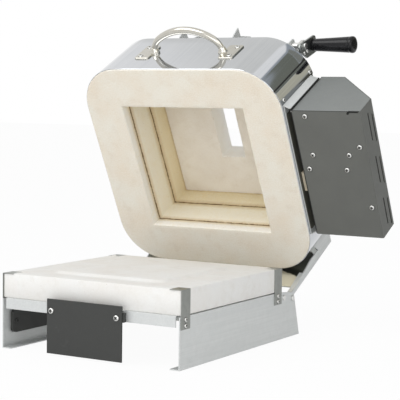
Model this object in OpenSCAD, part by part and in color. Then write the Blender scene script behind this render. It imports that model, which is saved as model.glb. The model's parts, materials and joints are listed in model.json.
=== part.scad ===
// Bead annealing kiln: a base with a fibre floor board and a heating shell that tips back on a rear hinge.
// X runs to the right, Y to the back and Z up; the origin is on the bench under the closed shell.
// The kiln is drawn as it stands in use with the shell open and the slot door raised.

/* [Base] */
// Width across the outer faces of the two side panels
base_w = 285; // [275:1:295]
// Distance from the origin forward to the front edge of the side panels
panel_front = 138; // [132:1:144]
// Distance from the origin back to the rear end of the foot flanges
panel_rear = 200; // [192:1:210]
// Height of the side panels below the floor board
panel_h = 68.5; // [62:0.5:74]
// Thickness of the galvanised sheet
sheet_t = 1.5; // [1:0.1:2]
// Width of the flanges folded inward along the foot and the top of a side panel
foot_w = 14.5; // [10:0.5:20]
// Depth of the rails folded down at the front and rear of the pan
rail_h = 15; // [10:1:20]
// Width of the pan across its rails
pan_w = 272; // [256:1:274]

/* [Floor board] */
// Length of the floor board from front to back
board_l = 275; // [268:1:282]
// Thickness of the floor board
board_t = 33.5; // [28:0.5:33.5]
// Width of the raised plateau on the floor board
plateau_w = 178; // [150:1:190]
// Length of the raised plateau on the floor board
plateau_l = 184; // [150:1:186]
// Height of the raised plateau
plateau_h = 3.5; // [1:0.5:5]

/* [Corner clips] */
// Width of a corner clip
clip_w = 22; // [14:1:26]
// Thickness of a corner clip
clip_t = 1; // [0.8:0.1:1.4]
// Length of the tab that lies on the floor board
clip_tab = 17; // [10:1:22]

/* [Front plate] */
// Width of the bare plate on the front rail
plate_w = 120; // [80:1:140]
// Height of the bare plate on the front rail
plate_h = 73.5; // [50:0.5:74]

/* [Heating shell] */
// Width and depth of the shell across its jacket
shell_w = 330; // [322:1:334]
// Radius of the shell's upright corners
shell_r = 66; // [58:1:72]
// Width of the square chamber
chamber_w = 204.5; // [190:0.5:210]
// Height of the lowest fibre ring
ring_1 = 19; // [15:0.5:24]
// Height of the middle fibre ring
ring_2 = 50; // [40:0.5:55]
// Height of the top fibre ring
ring_3 = 39.3; // [34:0.1:44]
// Thickness of the ceiling board
ceiling_t = 34; // [26:0.5:34]
// Width and depth of the ceiling board
ceiling_w = 256; // [236:1:256]
// Thickness of the polished jacket
jacket_t = 1; // [0.8:0.1:1.2]

/* [Slot and door] */
// Width of the slot in the ceiling
slot_w = 40; // [30:1:44]
// Length of the slot in the ceiling
slot_l = 110; // [80:1:114]
// Angle at which the door stands open
door_open = 35; // [20:1:40]
// Radius of the door shaft
shaft_r = 5; // [4:0.5:5]
// Distance between the two ears of the door bracket, over their outer faces
ear_span = 93.5; // [88:0.5:104]

/* [Grip] */
// Length of the black grip
grip_l = 66; // [55:1:80]
// Radius of the grip beside the lever
grip_r1 = 9.2; // [7:0.1:11]
// Radius of the grip at its outer end
grip_r2 = 12.2; // [9:0.1:13]

/* [Carrying handle] */
// Distance from the shell's centre to the middle of a handle leg
handle_half = 57.5; // [50:0.5:64]
// Height of the handle's middle line above the jacket
handle_rise = 35.5; // [33:0.5:44]
// Radius of the handle's round bar
handle_r = 5.5; // [4:0.1:6]

/* [Hinge] */
// Angle at which the shell rests when it is open
open_angle = 62.84; // [40:0.01:66]
// Distance from the shell's centre back to the hinge pins
hinge_back = 180.9; // [180:0.1:182]
// Depth of the hinge pins below the shell's face
hinge_drop = 47.84; // [47.6:0.01:48]
// Radius of the hinge pins
pin_r = 2.5; // [2:0.1:3]

/* [Control box] */
// Width of the control box
box_w = 104; // [90:1:116]
// Length of the control box from front to back
box_l = 200; // [180:1:200]
// Height of the control box
box_h = 107; // [96:1:107]
// Height of the upright side below the sloping panel
box_side_h = 40; // [30:1:48]
// Thickness of the box sheet
box_t = 1.2; // [1:0.1:1.5]
// Travel of a key
key_travel = 1; // [0.5:0.1:1.2]

/* [Hidden] */
$fn = 64;
eps = 0.01;

// Heights and places of the base
base_half = base_w / 2;
pan_top = panel_h + sheet_t;
board_top = pan_top + board_t;
board_mid = 2;
board_front = board_mid - board_l / 2;
board_rear = board_mid + board_l / 2;
pan_rear = board_rear + 2.5;
panel_inner = base_half - sheet_t;
// Where the rear top corner of a side panel slopes off
panel_slope = [[182, 60], [176, 64.5], [168, 65.7], [140, panel_h]];
plateau_mid = -5.5;
plateau_soft = 5;
// Hinge pins; the closed shell's face lies just above the floor board
hinge_y = 176.5;
hinge_z = 56;
head_r = 4;
head_t = 1.8;
// How far a screw stands out behind the sheet that it holds
thread_out = 1.5;

// Heights in the shell's own frame: its face is at 0 and its top is up
joint_1 = ring_1;
joint_2 = ring_1 + ring_2;
ring_top = ring_1 + ring_2 + ring_3;
ceiling_top = ring_top + ceiling_t;
shell_half = shell_w / 2;
chamber_half = chamber_w / 2;
chamber_mid = -1.25;
jacket_foot = 1.5;
jacket_top = ring_top + jacket_t;
flange_in = 17;
cover_flange_in = 5;
cover_top = ceiling_top + jacket_t + 0.2;
cover_half = ceiling_w / 2 + 2;
ceiling_r = 5;
cover_deck = jacket_top + jacket_t;
// Grooves that hold the heating elements: a narrow mouth and a wider bed behind it
groove_mouth = 1.4;
groove_lip = 3;
element_r = 3;
bed_half = element_r + 0.05;
bed_depth = 7;
element_half = chamber_half + groove_lip + element_r + 0.4;
tail_r = 1.6;
tail_hole = 1.75;
tail_end = 190;
insulator_rim = 7.5;
tails_1 = [10, 25];
tails_2 = [-20, -4];
// Thermocouple
probe_y = 60;
probe_z = 88;
probe_r = 3;

// Slot, door and lever
slot_rear = 36.5;
slot_mid = slot_rear - slot_l / 2;
shaft_y = -142;
shaft_z = 125;
shaft_left = -56;
shaft_hub = 143;
spigot_r = 3;
lever_x = 148;
lever_t = 3;
lever_end = lever_x + lever_t;
grip_y = -131;
grip_z = 153;
ear_t = 2;
door_rim = 12;
block_w = slot_w + 2 * door_rim;
block_l = slot_l + 2 * door_rim;
block_z = cover_top + 0.6;
block_t = 20;
pan_t = 1.2;
arm_t = 2.5;
arm_x = block_w / 2 + pan_t + 0.1;
bearing_x = 130;

// Carrying handle: two side arcs and a flatter arc over the top meet without a corner
handle_side = 26;
handle_run = handle_half - handle_side;
handle_gap = handle_rise - handle_side;
handle_sink = (handle_run * handle_run - handle_gap * handle_gap) / (2 * handle_gap);
handle_top = handle_rise + handle_sink;
handle_turn = atan(handle_run / handle_sink);
handle_z = (jacket_foot + jacket_top) / 2;
handle_foot_w = 24;
handle_foot_h = 43;
handle_foot_t = 2;
handle_foot_x = 70.5;

// Yoke
yoke_t = 2;
yoke_x = panel_inner - 0.5;
yoke_web = 176;
arm_front = 169;
arm_rear = 181.4;
plate_front = 152.5;
tail_low = -76;
web_low = -27;
yoke_high = 104;
lobe_r = 6.5;
// Outline of an arm from its tail up, and of the fold along its front edge
arm_neck = [[174.4, -33], [170, 2.6], [165, 31], [165, 58.4]];
yoke_outline = concat([[arm_front, -60], [arm_front, tail_low], [arm_rear, tail_low],
    [arm_rear, -36], [yoke_web + yoke_t, yoke_high], [plate_front, yoke_high],
    [plate_front, 37.4], [156, 37.4], [156, 51.6]],
    [for (i = [3 : -1 : 0]) arm_neck[i]], [[174.4, -46]]);
fold_outline = [arm_neck[1], arm_neck[0], [174.4, -42], [176.2, -42], [176.2, -33], [171.8, 2.6]];
fold_w = 7.5;
// Tab bent outward at the front of the wide part
tab_low = 37.4;
tab_h = 10;
tab_l = 8.6;
tab_t = 1.5;
tab_turn = 33.5;
stop_r = 3;
stop_z = -70;
spacer_x = 90;
spacer_z = [20, 86];

// Side bracket and control box
bracket_t = 1.5;
bracket_in = shell_half + 0.3;
bracket_front = -104;
bracket_rear = 98;
box_left = 177;
box_right = box_left + box_w;
box_low = 2.6;
box_high = box_low + box_h;
box_bend = box_low + box_side_h;
slope_run = box_high - box_bend;
box_crest = box_right - slope_run;
box_front_y = -101;
box_rear_y = box_front_y + box_l;
inset = box_t * tan(22.5);
bracket_low = box_low + 1.6;
bracket_high = bracket_low + 96;
louvre_l = 42;
louvre_w = 3;
louvre_pitch = 66.7;
louvre_y = -67;
// Sloping panel: its middle and the things that sit on it
slope_mid = [(box_right + box_crest) / 2, 0, (box_bend + box_high) / 2];
panel_y = -35;
controller_w = 104;
controller_h = 66;
controller_t = 2.5;
controller_deep = 24;
window_w = 52;
window_h = 22;
window_drop = 14;
key_r = 5;
key_gap = 0.3;
key_pitch = 22;
key_row = -18;
key_out = 2.2;
switch_y = 58;
switch_w = 21;
switch_h = 28;
rocker_w = 13;
rocker_h = 21;
rocker_t = 9;
gland_x = 236;
gland_z = 40;
gland_r = 9;
gland_bore = 4;

// Colours as the photograph shows them
galvanised = [0.70, 0.72, 0.72];
polished = [0.80, 0.81, 0.82];
fibre_white = [0.93, 0.92, 0.90];
fibre_cream = [0.89, 0.86, 0.80];
fibre_tan = [0.85, 0.79, 0.66];
charcoal = [0.19, 0.19, 0.20];
black = [0.06, 0.06, 0.06];
box_grey = [0.36, 0.37, 0.35];

// Moves the shell from its own frame to where it rests when it is open
module shell_pose() {
    translate([0, hinge_y, hinge_z])
        rotate([-open_angle, 0, 0])
            translate([0, -hinge_back, hinge_drop])
                children();
}

// Raises the closed door by its opening angle about the shaft
module door_pose() {
    shell_pose()
        translate([0, shaft_y, shaft_z])
            rotate([door_open, 0, 0])
                translate([0, -shaft_y, -shaft_z])
                    children();
}

// Puts a piece on the sloping panel: X runs along the kiln's length, Y up the slope and Z outward
module slope_pose() {
    shell_pose()
        translate(slope_mid)
            rotate([0, 45, 0])
                rotate([0, 0, 90])
                    children();
}

module mirror_copy() {
    children();
    mirror([1, 0, 0]) children();
}

// A box given by its two opposite corners
module span(low, high) {
    translate(low) cube(high - low);
}

// A rod along X
module rod_x(x1, x2, y, z, r) {
    translate([x1, y, z]) rotate([0, 90, 0]) cylinder(h = x2 - x1, r = r);
}

// A rod along Y
module rod_y(y1, y2, x, z, r) {
    translate([x, y1, z]) rotate([-90, 0, 0]) cylinder(h = y2 - y1, r = r);
}

// A plate in the YZ plane, from outline points [y, z]
module side_plate(x1, x2, points) {
    translate([x1, 0, 0])
        rotate([90, 0, 90])
            linear_extrude(height = x2 - x1) polygon(points);
}

// A block with rounded upright corners, centred on the origin
module rounded_block(half_x, half_y, r, z1, z2) {
    translate([0, 0, z1])
        linear_extrude(height = z2 - z1) {
            square([2 * (half_x - r), 2 * half_y], center = true);
            square([2 * half_x, 2 * (half_y - r)], center = true);
            for (sx = [-1, 1])
                for (sy = [-1, 1])
                    translate([sx * (half_x - r), sy * (half_y - r)]) circle(r);
        }
}

// A square block centred on the chamber
module chamber_block(half, z1, z2) {
    translate([-half, chamber_mid - half, z1]) cube([2 * half, 2 * half, z2 - z1]);
}

// A round-headed screw whose head stands on the plane z = 0 and whose shank goes down
module screw(head, shank, length) {
    translate([0, 0, -length]) cylinder(h = length + eps, r = shank);
    cylinder(h = 0.8, r = head);
    translate([0, 0, 0.8]) cylinder(h = 0.9, r1 = head, r2 = head * 0.6);
}

// Base

module side_panel_shape() {
    outline = concat([[-panel_front, 0], [panel_rear, 0]], panel_slope, [[-panel_front, panel_h]]);
    difference() {
        union() {
            side_plate(panel_inner, base_half, outline);
            span([base_half - foot_w, -panel_front, 0], [base_half - eps, panel_rear, sheet_t]);
            span([base_half - foot_w, board_front + 6, panel_h - sheet_t],
                [base_half - eps, board_rear - 6, panel_h]);
        }
        rod_x(panel_inner - 1, base_half + 1, hinge_y, hinge_z, pin_r);
        for (y = clip_mids())
            for (z = clip_holes())
                rod_x(panel_inner - 1, base_half + 1, y, z, screw_shank);
        rod_x(panel_inner - 1, base_half + 1, stop_world()[0], stop_world()[1], stop_r);
    }
}

screw_shank = 1.5;
function clip_mids() = [board_front + clip_w / 2 - 1, board_rear - clip_w / 2 + 1];
function clip_holes() = [pan_top - 5.5, pan_top - 13.5];

// Place of the stop pin on the bench frame, just touching the yoke's tail in the open pose
function stop_world() =
    let (dy = arm_front - stop_r - 0.3 - hinge_back)
    let (dz = stop_z + hinge_drop)
    [hinge_y + dy * cos(open_angle) + dz * sin(open_angle),
        hinge_z - dy * sin(open_angle) + dz * cos(open_angle)];

module side_panel_right() {
    color(galvanised) side_panel_shape();
}

module side_panel_left() {
    color(galvanised)
        difference() {
            mirror([1, 0, 0]) side_panel_shape();
            for (y = stiffener_holes)
                rod_x(-base_half - 1, -panel_inner + 1, y, stiffener_mid, stiffener_shank);
        }
}

module base_pan() {
    half = pan_w / 2;
    color(galvanised)
        difference() {
            union() {
                span([-half, -panel_front, panel_h], [half, pan_rear, pan_top]);
                span([-half, -panel_front, pan_top - rail_h], [half, -panel_front + sheet_t, pan_top]);
                span([-half, pan_rear - sheet_t, pan_top - rail_h], [half, pan_rear, pan_top]);
            }
            for (x = plate_screw_x)
                rod_y(-panel_front - 1, -panel_front + sheet_t + 1, x, plate_screw_z, screw_shank);
        }
}

module rear_brace() {
    color(galvanised) {
        span([-panel_inner, 186, sheet_t], [panel_inner, 196, 3]);
        span([-panel_inner, 186, sheet_t], [panel_inner, 187.5, 30]);
    }
}

module floor_board() {
    top = board_top;
    soft = plateau_w / 2 - plateau_soft;
    long = plateau_l / 2 - plateau_soft;
    color(fibre_white)
        difference() {
            union() {
                span([-base_half, board_front, pan_top], [base_half, board_rear, top]);
                for (step = [0 : 2])
                    translate([0, plateau_mid, 0])
                        rounded_block(soft + plateau_soft - 2 * step, long + plateau_soft - 2 * step,
                            14 - 2 * step, top - 1, top + plateau_h * (step + 1) / 3);
            }
            for (sx = [-1, 1])
                for (y = clip_mids())
                    translate([sx * (base_half - clip_tab / 2 + 1), y, top - clip_t / 2 + eps])
                        cube([clip_tab + 2 + eps, clip_w + 0.4, clip_t + 0.1], center = true);
        }
}

module clip_shape(y) {
    difference() {
        union() {
            span([base_half, y - clip_w / 2, pan_top - 18],
                [base_half + clip_t, y + clip_w / 2, board_top]);
            span([base_half + clip_t - clip_tab - 1, y - clip_w / 2, board_top - clip_t],
                [base_half + clip_t, y + clip_w / 2, board_top]);
        }
        for (z = clip_holes())
            rod_x(base_half - 1, base_half + clip_t + 1, y, z, screw_shank);
    }
}

module clip_front_right() { color(galvanised) clip_shape(clip_mids()[0]); }
module clip_rear_right() { color(galvanised) clip_shape(clip_mids()[1]); }
module clip_front_left() { color(galvanised) mirror([1, 0, 0]) clip_shape(clip_mids()[0]); }
module clip_rear_left() { color(galvanised) mirror([1, 0, 0]) clip_shape(clip_mids()[1]); }

module clip_screws() {
    color(polished)
        mirror_copy()
            for (y = clip_mids())
                for (z = clip_holes())
                    translate([base_half + clip_t, y, z])
                        rotate([0, 90, 0]) screw(3, screw_shank, clip_t + sheet_t + thread_out);
}

// Front plate and stiffener

plate_screw_x = [-53, 51.5];
plate_screw_z = 60.5;
plate_low_z = 3;
spacer_t = 7;
plate_t = 2;
spacer_w = 122;

module plate_spacer() {
    color(black)
        difference() {
            span([-spacer_w / 2, -panel_front - spacer_t, pan_top - rail_h],
                [spacer_w / 2, -panel_front, pan_top - 3]);
            for (x = plate_screw_x)
                rod_y(-panel_front - spacer_t - 1, -panel_front + 1, x, plate_screw_z, screw_shank);
        }
}

module front_plate() {
    face = -panel_front - spacer_t;
    color(charcoal)
        difference() {
            span([-plate_w / 2, face - plate_t, plate_low_z],
                [plate_w / 2, face, plate_low_z + plate_h]);
            for (x = plate_screw_x)
                rod_y(face - plate_t - 1, face + 1, x, plate_screw_z, screw_shank);
        }
}

module plate_screws() {
    color(polished)
        for (x = plate_screw_x)
            translate([x, -panel_front - spacer_t - plate_t, plate_screw_z])
                rotate([90, 0, 0]) screw(3.6, screw_shank, spacer_t + plate_t + sheet_t + thread_out);
}

stiffener_holes = [-113, 112];
stiffener_mid = 35;
stiffener_h = 32;
stiffener_t = 4;
stiffener_shank = 2;

module side_stiffener() {
    low = stiffener_mid - stiffener_h / 2;
    high = stiffener_mid + stiffener_h / 2;
    color(charcoal)
        difference() {
            side_plate(-panel_inner, -panel_inner + stiffener_t,
                [[-122, low + 4], [-119, low + 1], [-114, low], [114, low], [122, low + 4],
                    [122, high - 4], [118, high], [-118, high], [-122, high - 4]]);
            for (y = stiffener_holes)
                rod_x(-base_half - 1, -panel_inner + stiffener_t + 1, y, stiffener_mid, stiffener_shank);
        }
}

module stiffener_screws() {
    color(charcoal)
        for (y = stiffener_holes)
            translate([-panel_inner + stiffener_t, y, stiffener_mid])
                rotate([0, 90, 0]) screw(3.5, stiffener_shank, stiffener_t + sheet_t);
}

// Hinge pins and stops

module hinge_pin_shape() {
    rod_x(yoke_x - yoke_t - 3, base_half + eps, hinge_y, hinge_z, pin_r);
    rod_x(base_half, base_half + head_t, hinge_y, hinge_z, head_r);
    rod_x(yoke_x - yoke_t - 3, yoke_x - yoke_t - 0.3, hinge_y, hinge_z, head_r);
}

module hinge_pin_right() { color(polished) hinge_pin_shape(); }
module hinge_pin_left() { color(polished) mirror([1, 0, 0]) hinge_pin_shape(); }

module stop_pins() {
    place = stop_world();
    color(polished)
        mirror_copy() {
            rod_x(yoke_x - yoke_t - 1, base_half + eps, place[0], place[1], stop_r);
            rod_x(base_half, base_half + 1.2, place[0], place[1], stop_r + 1);
        }
}

// Heating shell

// Bed and mouth of an element groove, cut into both rings about their joint
module element_groove(z) {
    chamber_block(chamber_half + groove_lip + eps, z - groove_mouth, z + groove_mouth);
    difference() {
        chamber_block(chamber_half + groove_lip + bed_depth, z - bed_half, z + bed_half);
        chamber_block(chamber_half + groove_lip, z - bed_half - 1, z + bed_half + 1);
    }
}

// Holes for the tails of one element, through the right wall
module tail_holes(z, ys, r) {
    for (y = ys)
        rod_x(element_half, shell_half + 30, y, z, r);
}

module ring(z1, z2) {
    difference() {
        rounded_block(shell_half - jacket_t, shell_half - jacket_t, shell_r - jacket_t, z1, z2);
        chamber_block(chamber_half, z1 - 1, z2 + 1);
        element_groove(joint_1);
        element_groove(joint_2);
        tail_holes(joint_1, tails_1, tail_hole);
        tail_holes(joint_2, tails_2, tail_hole);
        rod_x(0, shell_half + 1, probe_y, probe_z, probe_r);
    }
}

module ring_lower() { color(fibre_cream) shell_pose() ring(0, joint_1); }
module ring_middle() { color(fibre_tan) shell_pose() ring(joint_1, joint_2); }
module ring_upper() { color(fibre_tan) shell_pose() ring(joint_2, ring_top); }

module ceiling_board() {
    half = ceiling_w / 2;
    color(fibre_cream)
        shell_pose()
            difference() {
                rounded_block(half, half, ceiling_r, ring_top, ceiling_top);
                span([-slot_w / 2, slot_rear - slot_l, ring_top - 1],
                    [slot_w / 2, slot_rear, ceiling_top + 1]);
            }
}

// One heating element: a bar round the groove with two tails through the right wall
module element(z, ys) {
    color([0.24, 0.21, 0.19])
        shell_pose()
            difference() {
                union() {
                    translate([0, chamber_mid, z]) {
                        for (turn = [0 : 90 : 270])
                            rotate([0, 0, turn]) {
                                rod_y(-element_half, element_half, element_half, 0, element_r);
                                translate([element_half, element_half, 0]) sphere(element_r);
                            }
                    }
                    for (y = ys)
                        rod_x(element_half, tail_end, y, z, tail_r);
                }
                span([element_half - element_r - 1, ys[0] + 5, z - 5],
                    [element_half + element_r + 1, ys[1] - 5, z + 5]);
            }
}

module element_lower() { element(joint_1, tails_1); }
module element_upper() { element(joint_2, tails_2); }

// Blocks that carry the tails of one element across the gap beside the jacket
module tail_insulator(z, ys) {
    difference() {
        span([bracket_in + bracket_t, ys[0] - insulator_rim, z - insulator_rim],
            [box_left, ys[1] + insulator_rim, z + insulator_rim]);
        tail_holes(z, ys, tail_hole);
    }
}

module tail_insulators() {
    color([0.90, 0.86, 0.78])
        shell_pose() {
            tail_insulator(joint_1, tails_1);
            tail_insulator(joint_2, tails_2);
        }
}

// The jacket's lapped end covers the right front corner up to the side bracket
lap_t = 0.8;
lap_start = -129;

module jacket() {
    color(polished)
        shell_pose()
            difference() {
                union() {
                    rounded_block(shell_half, shell_half, shell_r, jacket_foot, jacket_top);
                    intersection() {
                        rounded_block(shell_half + lap_t, shell_half + lap_t, shell_r + lap_t,
                            jacket_foot, jacket_top);
                        span([shell_half - 20, lap_start, jacket_foot],
                            [shell_half + 5, bracket_front - 6, jacket_top]);
                    }
                }
                rounded_block(shell_half - jacket_t, shell_half - jacket_t, shell_r - jacket_t,
                    jacket_foot - 1, ring_top);
                rounded_block(shell_half - flange_in, shell_half - flange_in, shell_r - flange_in,
                    ring_top - 1, jacket_top + 1);
                tail_holes(joint_1, tails_1, tail_hole + 2);
                tail_holes(joint_2, tails_2, tail_hole + 2);
                rod_x(shell_half - 5, shell_half + 5, probe_y, probe_z, probe_r);
                at_seam_screws() cylinder(h = 8, r = seam_shank, center = true);
                at_handle_screws() cylinder(h = 8, r = handle_shank, center = true);
            }
}

// Puts a piece on each of the two seam screws, with Z pointing out of the jacket
module at_seam_screws() {
    corner = shell_half - shell_r;
    for (z = [jacket_foot + 10, jacket_top - 9])
        translate([corner, -corner, z])
            rotate([0, 0, seam_turn])
                translate([shell_r + lap_t, 0, 0])
                    rotate([0, 90, 0]) children();
}

seam_turn = -12;
seam_shank = 1.2;

module top_cover() {
    color(polished)
        shell_pose()
            difference() {
                union() {
                    rounded_block(cover_half, cover_half, 6, jacket_top, cover_top);
                    rounded_block(shell_half - cover_flange_in, shell_half - cover_flange_in,
                        shell_r - cover_flange_in, jacket_top, cover_deck);
                }
                rounded_block(cover_half - 1, cover_half - 1, 5, jacket_top - 1, cover_top - 1);
                span([-slot_w / 2 - 2, slot_rear - slot_l - 2, cover_top - 2],
                    [slot_w / 2 + 2, slot_rear + 2, cover_top + 1]);
                for (place = cover_screw_at)
                    translate([place[0], place[1], jacket_top - 1]) cylinder(h = 4, r = screw_shank);
            }
}

cover_screw_at = [[-155, 0], [155, 0], [-108, 150], [108, 150], [-108, -150], [0, 155]];

// Two screws along the jacket's seam and six round the cover
module shell_screws() {
    color(polished)
        shell_pose() {
            at_seam_screws() screw(3, seam_shank, lap_t + jacket_t);
            for (place = cover_screw_at)
                translate([place[0], place[1], cover_deck]) screw(3.2, screw_shank, jacket_t);
        }
}

module handle_arc(radius, turn) {
    rotate_extrude(angle = turn, $fn = 96) translate([radius, 0]) circle(handle_r, $fn = 32);
}

handle_shank = 1.6;
handle_screw_x = handle_foot_x + 4;

// Puts a piece on each handle screw, with Z pointing out of the jacket from its outer face
module at_handle_screws() {
    mirror_copy()
        for (z = [-14, 14])
            translate([handle_screw_x, -shell_half, handle_z + z])
                rotate([90, 0, 0]) children();
}

// The arcs are joined in small swellings, where the bar was welded
module carry_handle() {
    color(polished)
        shell_pose()
            difference() {
                translate([0, -shell_half, handle_z])
                    rotate([180, 0, 0]) {
                        translate([0, -handle_sink, 0])
                            rotate([0, 0, 90 - handle_turn]) handle_arc(handle_top, 2 * handle_turn);
                        mirror_copy() {
                            translate([handle_run, 0, 0]) {
                                handle_arc(handle_side, 90 - handle_turn);
                                rotate([0, 0, 90 - handle_turn])
                                    translate([handle_side, 0, 0]) sphere(handle_r + 0.15);
                            }
                            span([handle_foot_x - handle_foot_w / 2, 0, -handle_foot_h / 2],
                                [handle_foot_x + handle_foot_w / 2, handle_foot_t, handle_foot_h / 2]);
                            translate([handle_half, 0, 0]) rotate([-90, 0, 0])
                                cylinder(h = handle_foot_t + 3, r = handle_r + 2);
                        }
                    }
                at_handle_screws() cylinder(h = 8, r = handle_shank, center = true);
            }
}

module handle_screws() {
    color(polished)
        shell_pose()
            at_handle_screws()
                translate([0, 0, handle_foot_t]) screw(3.4, handle_shank, handle_foot_t + jacket_t);
}

// Yoke behind the shell: a rear plate and two arms that reach down to the hinge pins.
// An arm widens beside the shell, and below that its front edge is folded inward.
module yoke_arm() {
    x1 = yoke_x - yoke_t;
    difference() {
        union() {
            side_plate(x1, yoke_x, yoke_outline);
            side_plate(yoke_x - fold_w, yoke_x - eps, fold_outline);
            rod_x(x1, yoke_x, hinge_back, -hinge_drop, lobe_r);
            translate([yoke_x - tab_t, plate_front, tab_low])
                rotate([0, 0, -tab_turn]) cube([tab_t, tab_l, tab_h]);
        }
        rod_x(x1 - 1, yoke_x + 1, hinge_back, -hinge_drop, pin_r + 0.06);
    }
}

module hinge_yoke() {
    color(galvanised)
        shell_pose()
            difference() {
                union() {
                    mirror_copy() yoke_arm();
                    span([-yoke_x, yoke_web, web_low], [yoke_x, yoke_web + yoke_t, yoke_high]);
                }
                for (x = [-spacer_x, spacer_x])
                    for (z = spacer_z)
                        rod_y(yoke_web - 1, yoke_web + yoke_t + 1, x, z, 2.5);
            }
}

module yoke_spacers() {
    color(galvanised)
        shell_pose()
            for (x = [-spacer_x, spacer_x])
                for (z = spacer_z)
                    difference() {
                        rod_y(shell_half, yoke_web, x, z, 6);
                        rod_y(shell_half - 1, yoke_web + 1, x, z, 2.5);
                    }
}

module yoke_bolts() {
    color(polished)
        shell_pose()
            for (x = [-spacer_x, spacer_x])
                for (z = spacer_z) {
                    rod_y(shell_half, yoke_web + yoke_t + eps, x, z, 2.5);
                    translate([x, yoke_web + yoke_t, z])
                        rotate([-90, 0, 0]) cylinder(h = 3.5, r = 4.6, $fn = 6);
                }
}

// Channel between the jacket and the control box, with slanted front and rear sides
module side_bracket() {
    out = box_left - 0.2;
    lip = 14;
    front = bracket_front;
    rear = bracket_rear;
    color(galvanised)
        shell_pose()
            difference() {
                translate([0, 0, bracket_low])
                    linear_extrude(height = bracket_high - bracket_low)
                        polygon([[bracket_in, front - 4], [out, front + 1], [out, front + 1 + lip],
                            [out - bracket_t, front + 1 + lip], [out - bracket_t, front + 2.2],
                            [bracket_in + bracket_t, front - 2.4], [bracket_in + bracket_t, rear + 2.4],
                            [out - bracket_t, rear - 2.2], [out - bracket_t, rear - 1 - lip],
                            [out, rear - 1 - lip], [out, rear - 1], [bracket_in, rear + 4]]);
                tail_holes(joint_1, tails_1, tail_hole + 2);
                tail_holes(joint_2, tails_2, tail_hole + 2);
                rod_x(shell_half - 5, box_left + 1, probe_y, probe_z, probe_r + 0.5);
            }
}

module thermocouple() {
    color([0.85, 0.82, 0.76])
        shell_pose() {
            rod_x(chamber_half - 10, box_left + 14, probe_y, probe_z, probe_r);
            rod_x(box_left + box_t, box_left + 16, probe_y, probe_z, 7);
        }
}

// Slot door

module door_bracket() {
    front = -shell_half;
    top_y = shaft_y;
    color(galvanised)
        shell_pose()
            difference() {
                union() {
                    mirror_copy()
                        side_plate(ear_span / 2 - ear_t, ear_span / 2,
                            [[front - 0.5, cover_deck], [front - 6, cover_deck + 18.6],
                                [front + 8, cover_deck + 20.2], [top_y - 8, cover_deck + 24],
                                [top_y + 8, cover_deck + 24], [top_y + 11, cover_deck + 18],
                                [top_y + 11, cover_deck]]);
                    span([-ear_span / 2, front + 6, cover_deck],
                        [ear_span / 2, top_y + 10, cover_deck + 1.5]);
                }
                rod_x(-ear_span, ear_span, shaft_y, shaft_z, shaft_r + 0.06);
            }
}

module shaft_bearing() {
    color(galvanised)
        shell_pose()
            difference() {
                union() {
                    side_plate(bearing_x, bearing_x + 2, [[shaft_y - 9, cover_deck],
                        [shaft_y - 9, shaft_z + 6], [shaft_y - 6, shaft_z + 9],
                        [shaft_y + 6, shaft_z + 9], [shaft_y + 9, shaft_z + 6],
                        [shaft_y + 9, cover_deck]]);
                    span([bearing_x - 14, shaft_y - 9, cover_deck],
                        [bearing_x + 1, shaft_y + 9, cover_deck + 1.5]);
                }
                rod_x(bearing_x - 1, bearing_x + 3, shaft_y, shaft_z, shaft_r + 0.06);
            }
}

module door_shaft() {
    color(polished)
        shell_pose() {
            rod_x(shaft_left, shaft_hub, shaft_y, shaft_z, shaft_r);
            rod_x(shaft_hub - eps, lever_end + 0.5, shaft_y, shaft_z, spigot_r);
            rod_x(lever_end, lever_end + 3, shaft_y, shaft_z, 4.6);
        }
}

// Arms that carry the door: up from the shaft, over the cover and back along the pan
module door_arms() {
    high = block_z + block_t;
    color(galvanised)
        door_pose()
            mirror_copy()
                difference() {
                    union() {
                        side_plate(arm_x, arm_x + arm_t,
                            [[shaft_y - 7, shaft_z], [shaft_y - 7, shaft_z + 12],
                                [shaft_y, shaft_z + 18.4], [shaft_y + 35, high - 1],
                                [slot_rear - 4, high - 1], [slot_rear + 2, high - 7],
                                [slot_rear + 2, high - 15], [shaft_y + 24, high - 15],
                                [shaft_y + 11, block_z + 0.6], [shaft_y + 8.5, shaft_z + 14],
                                [shaft_y + 8, shaft_z]]);
                        rod_x(arm_x, arm_x + arm_t, shaft_y, shaft_z, 8);
                    }
                    rod_x(arm_x - 1, arm_x + arm_t + 1, shaft_y, shaft_z, shaft_r);
                }
}

module door_pan() {
    half_w = block_w / 2 + pan_t;
    half_l = block_l / 2 + pan_t;
    high = block_z + block_t;
    color(polished)
        door_pose()
            difference() {
                span([-half_w, slot_mid - half_l, block_z + 6], [half_w, slot_mid + half_l, high + pan_t]);
                span([-block_w / 2, slot_mid - block_l / 2, block_z - 1],
                    [block_w / 2, slot_mid + block_l / 2, high]);
            }
}

module door_block() {
    color(fibre_white)
        door_pose()
            span([-block_w / 2, slot_mid - block_l / 2, block_z],
                [block_w / 2, slot_mid + block_l / 2, block_z + block_t]);
}

// Lever at the right end of the shaft, upright while the door is open
module lever_plate() {
    low = cover_deck + 1.5;
    color([0.62, 0.65, 0.66])
        shell_pose()
            difference() {
                side_plate(lever_x, lever_end, [[shaft_y - 7.5, low + 3], [shaft_y - 4, low],
                    [shaft_y + 4.5, low], [shaft_y + 20, shaft_z + 2.5], [grip_y + 13, grip_z + 8],
                    [grip_y + 10, grip_z + 11], [grip_y - 9, grip_z + 11], [grip_y - 12, grip_z + 8]]);
                rod_x(lever_x - 1, lever_end + 1, shaft_y, shaft_z, spigot_r);
                at_lever_screws() cylinder(h = 3 * lever_t, r = seam_shank, center = true);
            }
}

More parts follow.
